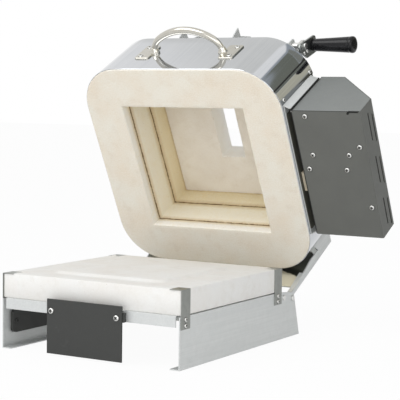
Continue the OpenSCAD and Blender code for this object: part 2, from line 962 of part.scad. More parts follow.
module lever_hub() {
    color(polished)
        shell_pose()
            difference() {
                side_plate(shaft_hub, lever_x, [[shaft_y - 6, shaft_z - 6], [shaft_y + 10, shaft_z - 6],
                    [shaft_y + 14, shaft_z - 2], [shaft_y + 14, shaft_z + 9], [shaft_y - 6, shaft_z + 9]]);
                rod_x(shaft_hub - 1, lever_x + 1, shaft_y, shaft_z, spigot_r);
            }
}

// Puts a piece on each of the two lever screws, with Z pointing outward
module at_lever_screws() {
    for (place = [[shaft_y + 9, shaft_z - 4], [shaft_y + 10, shaft_z + 5]])
        translate([lever_end, place[0], place[1]]) rotate([0, 90, 0]) children();
}

module lever_screws() {
    color(polished) shell_pose() at_lever_screws() screw(2.6, seam_shank, lever_t);
}

module lever_grip() {
    color(black)
        shell_pose()
            translate([lever_end, grip_y, grip_z])
                rotate([0, 90, 0])
                    rotate_extrude()
                        polygon([[0, 0], [grip_r1 - 1, 0], [grip_r1, 1], [grip_r1 + 0.2, 6],
                            [grip_r2 - 0.4, grip_l - 10], [grip_r2, grip_l - 4],
                            [grip_r2 - 0.9, grip_l - 1.2], [grip_r2 - 3, grip_l], [0, grip_l]]);
}

// Control box

module box_body() {
    t = box_t;
    color(box_grey)
        shell_pose()
            difference() {
                translate([0, box_rear_y, 0])
                    rotate([90, 0, 0])
                        linear_extrude(height = box_l)
                            polygon([[box_left, box_low], [box_right - t, box_low],
                                [box_right - t, box_low + t], [box_left + t, box_low + t],
                                [box_left + t, box_high - t], [box_left, box_high - t]]);
                tail_holes(joint_1, tails_1, tail_hole + 1);
                tail_holes(joint_2, tails_2, tail_hole + 1);
                rod_x(box_left - 1, box_left + t + 1, probe_y, probe_z, probe_r);
                box_screw_holes();
                front_relief(1.3);
                span([relief_from, box_front_y - 1, box_low - 1],
                    [relief_from + 2.4, box_front_y + 3.6, box_low + 2 * t]);
            }
}

// Narrow gap left open along the folded front edge, towards its right end
relief_from = 262;
module front_relief(deep) {
    span([relief_from, box_front_y - 1, box_low - 1],
        [box_right - 2, box_front_y + deep, box_low + 3]);
}

module box_screw_holes() {
    for (place = box_screw_at)
        translate([place[0], place[1], box_low - 1]) cylinder(h = 6, r = screw_shank);
}

module box_end(y) {
    t = box_t;
    gap = 0.05;
    translate([0, y + t, 0])
        rotate([90, 0, 0])
            linear_extrude(height = t)
                polygon([[box_left + t + gap, box_low + t + gap], [box_right - t - gap, box_low + t + gap],
                    [box_right - t - gap, box_bend - inset], [box_crest - inset, box_high - t - gap],
                    [box_left + t + gap, box_high - t - gap]]);
}

module box_front() {
    color(box_grey)
        shell_pose()
            difference() {
                box_end(box_front_y);
                front_relief(2 * box_t);
            }
}

module box_rear() {
    color(box_grey)
        shell_pose() {
            difference() {
                box_end(box_rear_y - box_t);
                rod_y(box_rear_y - 5, box_rear_y + 5, gland_x, gland_z, gland_r - 2);
            }
            difference() {
                rod_y(box_rear_y - 6, box_rear_y + 9, gland_x, gland_z, gland_r);
                rod_y(box_rear_y - 7, box_rear_y + 10, gland_x, gland_z, gland_bore);
            }
        }
}

module box_cover() {
    t = box_t;
    color(box_grey)
        difference() {
            shell_pose()
                translate([0, box_rear_y, 0])
                    rotate([90, 0, 0])
                        linear_extrude(height = box_l)
                            polygon([[box_right, box_low], [box_right, box_bend], [box_crest, box_high],
                                [box_left, box_high], [box_left, box_high - t],
                                [box_crest - inset, box_high - t], [box_right - t, box_bend - inset],
                                [box_right - t, box_low]]);
            shell_pose()
                for (row = [0 : 2])
                    for (column = [0, 1])
                        translate([box_right - t / 2, louvre_y + row * louvre_pitch + column * 7,
                            box_low + 22 + 12 * column])
                            cube([t + 2, louvre_l, louvre_w], center = true);
            slope_pose() {
                span([panel_y - controller_w / 2 + 4, -controller_h / 2 + 4, -5],
                    [panel_y + controller_w / 2 - 4, controller_h / 2 - 4, 2]);
                span([switch_y - switch_w / 2 + 2, -switch_h / 2 + 2, -5],
                    [switch_y + switch_w / 2 - 2, switch_h / 2 - 2, 2]);
            }
        }
}

box_screw_at = [[196.4, -92.5], [196.8, -32], [187, -9.4], [252.3, -33.4], [244.8, -9.9],
    [270.4, -46.6], [271.6, 49.2]];

module box_screws() {
    color(polished)
        shell_pose()
            for (place = box_screw_at)
                translate([place[0], place[1], box_low])
                    rotate([180, 0, 0]) screw(3.1, screw_shank, 3);
}

key_at = [for (i = [0 : 3]) panel_y + (i - 1.5) * key_pitch];

module controller() {
    color(black)
        slope_pose()
            difference() {
                union() {
                    span([panel_y - controller_w / 2, -controller_h / 2, 0],
                        [panel_y + controller_w / 2, controller_h / 2, controller_t]);
                    span([panel_y - controller_w / 2 + 5, -controller_h / 2 + 5, -controller_deep],
                        [panel_y + controller_w / 2 - 5, controller_h / 2 - 5, eps]);
                }
                span([panel_y - window_w / 2, window_drop - window_h / 2, controller_t - 1.5],
                    [panel_y + window_w / 2, window_drop + window_h / 2, controller_t + 1]);
                for (x = key_at)
                    translate([x, key_row, controller_t - 6]) cylinder(h = 8, r = key_r + key_gap);
            }
}

module display_window() {
    color([0.10, 0.03, 0.03])
        slope_pose()
            span([panel_y - window_w / 2 + 0.1, window_drop - window_h / 2 + 0.1, controller_t - 1.5],
                [panel_y + window_w / 2 - 0.1, window_drop + window_h / 2 - 0.1, controller_t - 0.3]);
}

module key(i) {
    color([0.75, 0.75, 0.73])
        slope_pose()
            translate([key_at[i], key_row, controller_t - 6 + key_travel + 0.2])
                cylinder(h = 6 + key_out - key_travel - 0.2, r = key_r);
}

module key_1() { key(0); }
module key_2() { key(1); }
module key_3() { key(2); }
module key_4() { key(3); }

module switch_frame() {
    color(black)
        slope_pose()
            difference() {
                union() {
                    span([switch_y - switch_w / 2, -switch_h / 2, 0],
                        [switch_y + switch_w / 2, switch_h / 2, 2]);
                    span([switch_y - switch_w / 2 + 2.1, -switch_h / 2 + 2.1, -16],
                        [switch_y + switch_w / 2 - 2.1, switch_h / 2 - 2.1, eps]);
                }
                span([switch_y - rocker_w / 2 - 0.3, -rocker_h / 2 - 0.4, -9],
                    [switch_y + rocker_w / 2 + 0.3, rocker_h / 2 + 0.4, 3]);
            }
}

// Rocker: a round-backed key that tilts about a pivot along the slope's X direction
module switch_rocker() {
    tilt = 10;
    color([0.55, 0.08, 0.06])
        slope_pose()
            translate([switch_y, 0, -1])
                rotate([tilt, 0, 0])
                    intersection() {
                        translate([-rocker_w / 2, 0, 0])
                            rotate([0, 90, 0]) cylinder(h = rocker_w, r = rocker_h / 2);
                        cube([rocker_w, rocker_h, rocker_t], center = true);
                    }
}

module terminal_block() {
    x1 = tail_end - 6;
    color([0.88, 0.86, 0.80])
        shell_pose()
            difference() {
                span([x1, tails_2[0] - 19, box_low + box_t], [x1 + 20, tails_1[1] + 8, joint_2 + 8]);
                tail_holes(joint_1, tails_1, tail_r);
                tail_holes(joint_2, tails_2, tail_r);
                box_screw_holes();
            }
}

module relay() {
    low = box_low + box_t;
    color([0.12, 0.12, 0.13])
        shell_pose()
            difference() {
                union() {
                    span([225, -46, low], [260, -6, low + 26]);
                    span([222, -50, low], [263, -2, low + 2.5]);
                }
                box_screw_holes();
            }
}

side_panel_left();
side_panel_right();
base_pan();
rear_brace();
floor_board();
clip_front_left();
clip_front_right();
clip_rear_left();
clip_rear_right();
clip_screws();
front_plate();
plate_spacer();
plate_screws();
side_stiffener();
stiffener_screws();
hinge_pin_left();
hinge_pin_right();
stop_pins();
ring_lower();
ring_middle();
ring_upper();
ceiling_board();
element_lower();
element_upper();
tail_insulators();
jacket();
top_cover();
shell_screws();
carry_handle();
handle_screws();
hinge_yoke();
yoke_spacers();
yoke_bolts();
side_bracket();
thermocouple();
door_bracket();
shaft_bearing();
door_shaft();
door_arms();
door_pan();
door_block();
lever_plate();
lever_hub();
lever_screws();
lever_grip();
box_body();
box_front();
box_rear();
box_cover();
box_screws();
controller();
display_window();
key_1();
key_2();
key_3();
key_4();
switch_frame();
switch_rocker();
terminal_block();
relay();
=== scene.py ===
"""Looks of a bead annealing kiln: a fibre floor board on a folded steel base, and a heating
shell that tips back on a rear hinge. Sizes are millimetres in the kiln's own frames."""

import json
import math

import bmesh
import bpy
from mathutils import Matrix, Vector, noise


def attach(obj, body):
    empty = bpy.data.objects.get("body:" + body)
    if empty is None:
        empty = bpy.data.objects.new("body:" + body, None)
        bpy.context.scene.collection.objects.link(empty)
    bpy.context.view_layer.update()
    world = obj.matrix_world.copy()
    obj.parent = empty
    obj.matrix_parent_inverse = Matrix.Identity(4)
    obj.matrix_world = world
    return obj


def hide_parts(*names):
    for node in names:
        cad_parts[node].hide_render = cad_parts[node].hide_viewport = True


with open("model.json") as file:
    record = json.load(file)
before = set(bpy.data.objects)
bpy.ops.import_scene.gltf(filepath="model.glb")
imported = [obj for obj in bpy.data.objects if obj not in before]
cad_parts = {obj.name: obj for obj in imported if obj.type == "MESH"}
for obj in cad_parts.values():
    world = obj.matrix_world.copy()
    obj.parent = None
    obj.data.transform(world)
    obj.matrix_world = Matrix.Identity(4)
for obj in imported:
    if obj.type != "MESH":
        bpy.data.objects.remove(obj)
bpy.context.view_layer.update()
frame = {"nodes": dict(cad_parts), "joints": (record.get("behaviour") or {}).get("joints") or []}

MM = 0.001
JOINTS = {joint["name"]: joint for joint in frame["joints"]}

# Base, floor board and clips, in the bench's frame
BASE_HALF = 142.5
PANEL_FRONT = 138
PAN_TOP = 70
BOARD_TOP = 103.5
BOARD_FRONT = -135.5
BOARD_REAR = 139.5
PLATEAU_HALF_X = 89
PLATEAU_HALF_Y = 92
PLATEAU_MID = -5.5
PLATEAU_H = 3.5
CLIP_T = 1

# Shell, chamber and ceiling, in the frame of the closed shell
SHELL_HALF = 165
SHELL_R = 66
JACKET_T = 1
JACKET_FOOT = 1.5
RING_TOP = 108.3
JACKET_TOP = RING_TOP + JACKET_T
JOINT_1 = 19
JOINT_2 = 69
CHAMBER_HALF = 102.25
CHAMBER_MID = -1.25
CEILING_HALF = 128
CEILING_TOP = 142.3
SLOT_HALF_X = 20
SLOT_HALF_Y = 55
SLOT_MID = -18.5
COVER_DECK = JACKET_TOP + JACKET_T
HINGE_BACK = 180.9
HINGE_DROP = 47.84

# Yoke's rear plate, slot door with its lever, and carrying handle
WEB_FACE = 176.0
WEB_HALF = 139.5
SHAFT_Y = -142
SHAFT_Z = 125
LEVER_END = 151
GRIP_Y = -131
GRIP_Z = 153
GRIP_LENGTH = 66
HANDLE_HALF = 57.5
HANDLE_SIDE = 26.0
HANDLE_RISE = 35.5
HANDLE_Z = (JACKET_FOOT + JACKET_TOP) / 2
HANDLE_FOOT_X = 70.5
FOOT_HALF_X = 12
FOOT_HALF_Y = 21.5
FOOT_T = 2

# Control box and its bracket
BOX_LEFT = 177
BOX_RIGHT = 281
BOX_LOW = 2.6
BOX_HIGH = 109.6
BOX_BEND = 42.6
BOX_CREST = BOX_RIGHT - (BOX_HIGH - BOX_BEND)
BOX_FRONT = -101
BOX_BACK = 99
# Where the front panel's shallow recess starts
RELIEF_FROM = 262
BRACKET_MID = 52.2
BRACKET_FACE = 166.8

# Frames: the shell and the door at rest, and the control box's sloping panel
OPEN_ANGLE = math.radians(JOINTS["lid_hinge"]["range_deg"][1])
DOOR_ANGLE = math.radians(JOINTS["door_hinge"]["range_deg"][1])
HINGE = Vector(JOINTS["lid_hinge"]["pos_m"]) / MM


def shift(x, y, z):
    return Matrix.Translation((x, y, z))


def turn(degrees, axis):
    return Matrix.Rotation(math.radians(degrees), 4, axis)


BENCH = Matrix.Scale(MM, 4)
SHELL = (BENCH @ shift(*HINGE) @ Matrix.Rotation(-OPEN_ANGLE, 4, "X")
         @ shift(0, -HINGE_BACK, HINGE_DROP))
DOOR = (SHELL @ shift(0, SHAFT_Y, SHAFT_Z) @ Matrix.Rotation(DOOR_ANGLE, 4, "X")
        @ shift(0, -SHAFT_Y, -SHAFT_Z))
SLOPE = (SHELL @ shift((BOX_RIGHT + BOX_CREST) / 2, 0, (BOX_BEND + BOX_HIGH) / 2)
         @ turn(45, "Y") @ turn(90, "Z"))


# Materials

def srgb(red, green, blue):
    """A colour written as a screen shows it, 0 to 255, in linear light."""
    def linear(value):
        value /= 255
        return value / 12.92 if value <= 0.04045 else ((value + 0.055) / 1.055) ** 2.4
    return (linear(red), linear(green), linear(blue), 1)


class Nodes:
    """A node tree with short ways to add nodes and join them."""

    def __init__(self, tree):
        self.tree = tree

    def feed(self, node, values):
        """Joins an output to each input named, or writes a plain value there."""
        for key, value in values.items():
            if hasattr(value, "links"):
                self.tree.links.new(value, node.inputs[key])
            else:
                node.inputs[key].default_value = value

    def add(self, kind, values=None, **settings):
        """A new node with its settings, and values for its inputs by name or number."""
        node = self.tree.nodes.new(kind)
        for key, value in settings.items():
            setattr(node, key, value)
        self.feed(node, values or {})
        return node

    def mix(self, factor, first, second, blend="MIX"):
        values = {0: factor, 6: first, 7: second}
        return self.add("ShaderNodeMix", values, data_type="RGBA", blend_type=blend).outputs[2]

    def maths(self, operation, *values):
        return self.add("ShaderNodeMath", dict(enumerate(values)), operation=operation).outputs[0]

    def axes(self, vector):
        """The X, Y and Z of a vector."""
        return self.add("ShaderNodeSeparateXYZ", {0: vector}).outputs


class Shader(Nodes):
    """A material with a Principled surface and the textures that vary it."""

    def __init__(self, name, colour, roughness, metallic=0.0):
        self.material = bpy.data.materials.new(name)
        self.material.use_nodes = True
        super().__init__(self.material.node_tree)
        self.surface = self.tree.nodes["Principled BSDF"]
        self.set_surface({"Base Color": colour, "Roughness": roughness, "Metallic": metallic})
        place = self.add("ShaderNodeAttribute", attribute_name="own_place")
        self.place = place.outputs["Vector"]

    def set_surface(self, values):
        self.feed(self.surface, values)

    def stretched(self, stretch):
        """The place on the piece, in millimetres, stretched along its axes."""
        node = self.add("ShaderNodeVectorMath", {0: self.place, 1: stretch}, operation="MULTIPLY")
        return node.outputs["Vector"]

    def noise(self, size, detail=3.0, stretch=(1, 1, 1), rough=0.5):
        """Cloudy values from 0 to 1 with features about size millimetres wide."""
        values = {"Scale": 1 / size, "Detail": detail, "Roughness": rough,
                  "Vector": self.stretched(stretch)}
        return self.add("ShaderNodeTexNoise", values).outputs["Fac"]

    def cells(self, size, output="Distance"):
        """Distance to the middle, or the Color, of cells about size millimetres wide."""
        values = {"Scale": 1 / size, "Vector": self.stretched((1, 1, 1))}
        return self.add("ShaderNodeTexVoronoi", values).outputs[output]

    def ramp(self, value, stops):
        """Colours, or greys given as one number, at stops along the value."""
        node = self.add("ShaderNodeValToRGB", {"Fac": value})
        ramp = node.color_ramp
        while len(ramp.elements) < len(stops):
            ramp.elements.new(0.5)
        for element, (position, colour) in zip(ramp.elements, stops):
            element.position = position
            element.color = colour if isinstance(colour, tuple) else (colour,) * 3 + (1,)
        return node.outputs["Color"]

    def colour(self, value):
        self.set_surface({"Base Color": value})

    def roughness(self, value, low, high):
        node = self.add("ShaderNodeMapRange", {"To Min": low, "To Max": high, "Value": value})
        self.set_surface({"Roughness": node.outputs["Result"]})

    def bump(self, height, depth, strength=1.0, under=None):
        """Raises the surface by height times depth millimetres."""
        values = {"Distance": depth * MM, "Strength": strength, "Height": height}
        if under is not None:
            values["Normal"] = under
        raised = self.add("ShaderNodeBump", values).outputs["Normal"]
        self.set_surface({"Normal": raised})
        return raised

    def grit(self, base, strength, dark, light):
        """The colour with a fine grain laid over it."""
        grains = self.ramp(self.noise(1.5, 2, rough=0.6), [(0.36, dark), (0.64, light)])
        return self.mix(strength, base, grains, "OVERLAY")

    def specular(self, level):
        self.set_surface({"Specular IOR Level": level})


FIBRE_SPECULAR = 0.2


def fibre(name, pale, warm, shade, grain=0.14, pits=0.22, gritty=0.35):
    """Vacuum-formed ceramic fibre: chalky, cloudy, with grit, specks and small pits."""
    shader = Shader(name, pale, 0.95)
    clouds = shader.noise(55, 3)
    cloudy = shader.mix(shader.ramp(clouds, [(0.35, 0.0), (0.68, 1.0)]), pale, warm)
    smudge = shader.ramp(shader.noise(17, 4), [(0.52, 0.0), (0.78, 0.5)])
    stained = shader.mix(smudge, cloudy, shade)
    mottle = shader.ramp(shader.noise(3.2, 4, rough=0.65), [(0.34, 0.44), (0.66, 0.54)])
    stained = shader.mix(0.6, stained, mottle, "OVERLAY")
    stained = shader.grit(stained, gritty, 0.40, 0.57)
    speck = shader.ramp(shader.cells(5.5), [(0.035, 1.0), (0.075, 0.0)])
    chosen = shader.ramp(shader.noise(9, 1), [(0.50, 0.0), (0.62, 0.75)])
    speck = shader.mix(1.0, speck, chosen, "MULTIPLY")
    shader.colour(shader.mix(speck, stained, srgb(150, 132, 108)))
    fine = shader.bump(shader.noise(1.1, 5, rough=0.65), grain)
    pit = shader.ramp(shader.cells(3.2), [(0.10, 0.0), (0.22, 1.0)])
    shader.bump(pit, pits, 0.5, fine)
    shader.specular(FIBRE_SPECULAR)
    return shader.material


# How far from each joint the wall is toasted
JOINT_WARMTH = ((JOINT_1, 9), (JOINT_2, 11), (RING_TOP, 6))
GROOVE_BROWN_REACH = 4.0


def fired_fibre():
    """Chamber walls: pale at the mouth, toasted towards the ceiling, dark brown in the grooves."""
    shader = Shader("fired_fibre", srgb(236, 230, 216), 0.95)
    pale, toast, deep = srgb(244, 240, 231), srgb(247, 240, 220), srgb(240, 226, 191)
    groove_brown = srgb(124, 96, 60)
    depth = shader.axes(shader.place)["Z"]
    height = shader.maths("DIVIDE", depth, RING_TOP)
    wander = shader.maths("MULTIPLY", shader.maths("SUBTRACT", shader.noise(34, 3), 0.5), 0.16)
    height = shader.maths("ADD", height, wander)
    low = shader.ramp(height, [(0.12, 0.0), (0.24, 0.7), (0.55, 1.0)])
    high = shader.ramp(height, [(0.55, 0.0), (0.78, 0.75), (1.0, 0.9)])
    toasted = shader.mix(high, shader.mix(low, pale, toast), deep)
    blotch = shader.ramp(shader.noise(11, 4, rough=0.6), [(0.50, 0.0), (0.82, 0.4)])
    toasted = shader.mix(blotch, toasted, deep)
    ragged = shader.maths("MULTIPLY", shader.maths("SUBTRACT", shader.noise(2.2, 3), 0.45), 3.0)
    for joint, reach in JOINT_WARMTH:
        away = shader.maths("ABSOLUTE", shader.maths("SUBTRACT", depth, joint))
        warm = shader.ramp(shader.maths("DIVIDE", away, reach), [(0.05, 0.75), (1.0, 0.0)])
        toasted = shader.mix(warm, toasted, srgb(208, 183, 134))
        # Dark brown in a narrow ragged band at each groove
        if joint != RING_TOP:
            edge = shader.maths("DIVIDE", shader.maths("ADD", away, ragged), GROOVE_BROWN_REACH)
            toasted = shader.mix(shader.ramp(edge, [(0.20, 1.0), (0.50, 0.0)]), toasted, groove_brown)
    toasted = shader.grit(toasted, 0.7, 0.36, 0.60)
    speck = shader.ramp(shader.cells(4.5), [(0.05, 0.8), (0.11, 0.0)])
    shader.colour(shader.mix(speck, toasted, srgb(150, 122, 84)))
    fine = shader.bump(shader.noise(1.2, 5, rough=0.65), 0.14)
    shader.bump(shader.ramp(shader.cells(3.4), [(0.10, 0.0), (0.24, 1.0)]), 0.2, 0.5, fine)
    shader.specular(FIBRE_SPECULAR)
    return shader.material


ZINC_TONE = srgb(214, 216, 215)
ZINC_METALLIC = 0.55
# Painted light and painted shade on the yoke's web: the slope of their edge across the web, and their
# colours up the web, tan painted light below and nearly black painted shade above
WEB_SHADE_SLOPE = 0.38
WEB_SHADE_SPAN = 200.0
WEB_LIGHT_AND_SHADE = [(0.0, srgb(214, 208, 186)), (0.252, srgb(212, 205, 182)), (0.264, srgb(34, 34, 27)),
         (0.31, srgb(40, 41, 34)), (0.35, srgb(96, 98, 88)), (1.0, srgb(104, 106, 98))]


def galvanised(name="galvanised_sheet", grain=(1, 0.02, 1), streaks=0.35, painted_light_and_shade=False):
    """Zinc-coated sheet: soft grey with faint spangle and rolling lines. The yoke's web behind
    the hot shell carries painted light and painted shade: tan painted light at its foot and nearly
    black painted shade above."""
    shader = Shader(name, ZINC_TONE, 0.42, ZINC_METALLIC)
    spangle = shader.ramp(shader.cells(6, "Color"), [(0.15, 0.47), (0.85, 0.53)])
    base = shader.mix(0.5, ZINC_TONE, spangle, "OVERLAY")
    streak = shader.ramp(shader.noise(2.4, 2, grain), [(0.35, 0.40), (0.7, 0.55)])
    base = shader.mix(streaks, base, streak, "OVERLAY")
    if painted_light_and_shade:
        across, along, height = shader.axes(shader.place)
        # Only the web's face towards the shell, between the arms' inner faces, gets the painted light
        # and shade
        aside = shader.maths("ABSOLUTE", shader.maths("SUBTRACT", along, WEB_FACE))
        web = shader.maths("MULTIPLY", shader.maths("LESS_THAN", aside, 0.8),
                           shader.maths("LESS_THAN", shader.maths("ABSOLUTE", across), WEB_HALF))
        slope = shader.maths("ADD", height, shader.maths("MULTIPLY", across, WEB_SHADE_SLOPE))
        ragged = shader.maths("MULTIPLY", shader.noise(6, 3), 4.0)
        level = shader.maths("DIVIDE", shader.maths("ADD", slope, ragged), WEB_SHADE_SPAN)
        # Tan painted light at the web's foot and nearly black painted shade above it; the web is made
        # non-metallic there
        base = shader.mix(web, base, shader.ramp(level, WEB_LIGHT_AND_SHADE))
        off_web = shader.maths("SUBTRACT", 1.0, web)
        shader.set_surface({"Metallic": shader.maths("MULTIPLY", off_web, ZINC_METALLIC)})
    shader.colour(base)
    shader.roughness(shader.noise(16, 3), 0.34, 0.52)
    shader.bump(shader.noise(0.7, 3, (1, 0.08, 1)), 0.012, 0.6)
    return shader.material


def polished():
    """Mirror-finished stainless sheet with faint polishing lines and a slight waviness."""
    steel = srgb(207, 209, 212)
    shader = Shader("polished_stainless", steel, 0.06, 1.0)
    lines = shader.noise(0.5, 2, (1, 1, 0.015))
    shader.roughness(lines, 0.02, 0.08)
    smear = shader.ramp(shader.noise(40, 3), [(0.3, 0.44), (0.7, 0.54)])
    sheet = shader.mix(0.25, steel, smear, "OVERLAY")
    streak = shader.ramp(shader.noise(2.6, 3, (1, 1, 0.012), 0.7), [(0.32, 0.36), (0.68, 0.60)])
    shader.colour(shader.mix(0.3, sheet, streak, "OVERLAY"))
    wavy = shader.bump(shader.noise(48, 1), 0.05, 0.5)
    shader.bump(lines, 0.002, 0.4, wavy)
    return shader.material


def bright_metal(name, colour, low, high, grain=0.004):
    """Plated or turned metal with a fine, uneven finish."""
    shader = Shader(name, colour, low, 1.0)
    shader.roughness(shader.noise(5, 4), low, high)
    shade = shader.ramp(shader.noise(9, 3), [(0.3, 0.42), (0.7, 0.55)])
    shader.colour(shader.mix(0.5, colour, shade, "OVERLAY"))
    shader.bump(shader.noise(0.4, 2), grain, 0.5)
    return shader.material


def paint(name, colour, worn, low, high, specular=0.5):
    """Powder-coated steel: a fine orange peel, a light speckle and a few rubbed places."""
    shader = Shader(name, colour, low)
    cloud = shader.ramp(shader.noise(60, 3), [(0.3, 0.44), (0.75, 0.56)])
    tone = shader.mix(0.45, colour, cloud, "OVERLAY")
    scuff = shader.ramp(shader.noise(22, 6, (1, 0.25, 1), 0.7), [(0.64, 0.0), (0.76, 0.35)])
    tone = shader.mix(scuff, tone, worn)
    grit = shader.ramp(shader.noise(0.9, 2), [(0.3, 0.42), (0.7, 0.58)])
    shader.colour(shader.mix(0.4, tone, grit, "OVERLAY"))
    shader.roughness(shader.noise(8, 3), low, high)
    shader.bump(shader.noise(1.6, 2), 0.03, 0.5)
    shader.specular(specular)
    return shader.material


def plastic(name, colour, low, high, coat=0.0, grain=0.01, specular=0.5):
    """Moulded plastic with a fine grain and a few rubbed places."""
    shader = Shader(name, colour, low)
    shader.roughness(shader.noise(11, 4), low, high)
    tone = shader.ramp(shader.noise(18, 3), [(0.3, 0.42), (0.75, 0.6)])
    shader.colour(shader.mix(0.5, colour, tone, "OVERLAY"))
    shader.bump(shader.noise(0.8, 2), grain, 0.5)
    shader.set_surface({"Coat Weight": coat, "Specular IOR Level": specular})
    return shader.material


def fired_wire():
    """Resistance wire, dark and scaled by firing."""
    shader = Shader("fired_wire", srgb(92, 84, 78), 0.6, 0.6)
    scale = shader.ramp(shader.noise(3, 3), [(0.4, srgb(74, 68, 64)), (0.7, srgb(134, 120, 108))])
    shader.colour(scale)
    shader.roughness(shader.noise(2, 2), 0.5, 0.75)
    return shader.material


FACE_FIBRE = fibre("face_fibre", srgb(233, 228, 216), srgb(231, 221, 205), srgb(220, 209, 192),
                   0.07, 0.12, 0.8)
CEILING_FIBRE = fibre("ceiling_fibre", srgb(243, 238, 229), srgb(235, 228, 217),
                      srgb(226, 217, 203), 0.09, 0.14)
# Paler fibre for the slot's walls, which stand in shade: painted light
SLOT_PAINTED_LIGHT = fibre("slot_fibre_painted_light", srgb(252, 250, 245), srgb(250, 246, 238), srgb(244, 238, 228))
WHITE_FIBRE = fibre("white_fibre", srgb(236, 235, 232), srgb(233, 230, 225), srgb(224, 220, 213),
                    0.07, 0.1, 0.15)
FIRED_FIBRE = fired_fibre()
GALVANISED = galvanised()
# The yoke's sheet, with painted light and painted shade on its web
YOKE_SHEET_PAINTED_SHADE = galvanised("yoke_sheet_painted_shade", (1, 1, 0.02), 0.7, True)
DARK_STEEL = bright_metal("dark_steel", srgb(150, 154, 151), 0.24, 0.4)
CLIP_STEEL = bright_metal("clip_steel", srgb(158, 160, 156), 0.34, 0.5)
POLISHED = polished()
NICKEL = bright_metal("nickel_plate", srgb(203, 200, 191), 0.08, 0.17)
ZINC = bright_metal("zinc_plate", srgb(222, 222, 219), 0.22, 0.40)
# Dark metal for screw recesses and the thin rings under the heads: painted shade
RECESS_PAINTED_SHADE = bright_metal("screw_recess_painted_shade", srgb(74, 74, 72), 0.45, 0.6)
BOX_PAINT = paint("box_paint", srgb(101, 102, 98), srgb(128, 129, 124), 0.40, 0.54, 0.3)
# The box's paint again, lighter and bluer for the front panel: a painted sheen of light
FRONT_PAINTED_LIGHT = paint("front_paint_painted_light", srgb(127, 130, 128), srgb(150, 152, 150), 0.34, 0.46)
BLACK_PAINT = paint("black_paint", srgb(51, 52, 50), srgb(80, 81, 79), 0.42, 0.58)
GRIP_PLASTIC = plastic("grip_plastic", srgb(22, 22, 24), 0.12, 0.20, specular=0.28)
BLACK_PLASTIC = plastic("black_plastic", srgb(38, 38, 40), 0.48, 0.62, 0.0, 0.03)
# Near-black for strips put in gaps where there is only shade: painted shadow
PAINTED_SHADOW_BLACK = plastic("painted_shadow_black", srgb(22, 22, 20), 0.7, 0.85)
# Dark colour for a sheet put where the gap beside the box is in shade: painted shade
PAINTED_SHADE_SHEET = plastic("painted_shade_sheet", srgb(86, 85, 76), 0.6, 0.8)
KEY_PLASTIC = plastic("key_plastic", srgb(196, 196, 192), 0.42, 0.55)
ROCKER_PLASTIC = plastic("rocker_plastic", srgb(158, 32, 28), 0.25, 0.38, 0.2)
WINDOW_PLASTIC = plastic("window_plastic", srgb(52, 12, 12), 0.08, 0.16, 0.5, 0.002)
PORCELAIN = plastic("porcelain", srgb(232, 227, 216), 0.28, 0.42, 0.2)
INSULATOR = fibre("insulator", srgb(222, 212, 190), srgb(212, 200, 176), srgb(196, 182, 156),
                  0.03, 0.03)
FIRED_WIRE = fired_wire()


# Making pieces

def own_place(mesh, place):
    """Keeps where each point is in the piece's own frame, in millimetres, for its material."""
    back = place.inverted()
    attribute = mesh.attributes.new("own_place", "FLOAT_VECTOR", "POINT")
    flat = []
    for vertex in mesh.vertices:
        flat.extend(back @ vertex.co)
    attribute.data.foreach_set("vector", flat)


def shown(name, data):
    """A new object in the scene."""
    made = bpy.data.objects.new(name, data)
    bpy.context.scene.collection.objects.link(made)
    return made


def piece(name, bm, material, body, place=BENCH, bevel=0.0, segments=2, smooth=38):
    """Turns a bmesh drawn in the frame called place into a piece that rides on a body."""
    bmesh.ops.recalc_face_normals(bm, faces=bm.faces)
    bm.transform(place)
    return finish_piece(name, to_mesh(bm, name), material, body, place, bevel, segments, smooth)


def to_mesh(bm, name):
    mesh = bpy.data.meshes.new(name)
    bm.to_mesh(mesh)
    bm.free()
    return mesh


def finish_piece(name, mesh, material, body, place, bevel=0.0, segments=2, smooth=38):
    """Gives a mesh its own places, material, shading, rounded edges and body. A piece with a
    node's name takes that node's place and has _look after its name."""
    own_place(mesh, place)
    mesh.materials.append(material)
    mesh.polygons.foreach_set("use_smooth", [True] * len(mesh.polygons))
    mesh.set_sharp_from_angle(angle=math.radians(smooth))
    replaced = [name] if name in frame["nodes"] else []
    made = shown(name + "_look" if replaced else name, mesh)
    if bevel:
        edge = made.modifiers.new("edges", "BEVEL")
        edge.width = bevel * MM
        edge.segments = segments
        edge.limit_method = "ANGLE"
        edge.angle_limit = math.radians(smooth)
        made.modifiers.new("normals", "WEIGHTED_NORMAL").keep_sharp = True
    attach(made, body)
    if replaced:
        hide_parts(*replaced)
    return made


def dress(nodes, material, body, place=BENCH, bevel=0.3, segments=2):
    """The nodes' own forms again, with edges rounded as folded or sawn stock has them."""
    for node in nodes.split():
        bm = bmesh.new()
        bm.from_mesh(frame["nodes"][node].data)
        bmesh.ops.remove_doubles(bm, verts=bm.verts, dist=0.002 * MM)
        bmesh.ops.dissolve_limit(bm, angle_limit=math.radians(0.3), verts=bm.verts, edges=bm.edges)
        finish_piece(node, to_mesh(bm, node), material, body, place, bevel, segments)


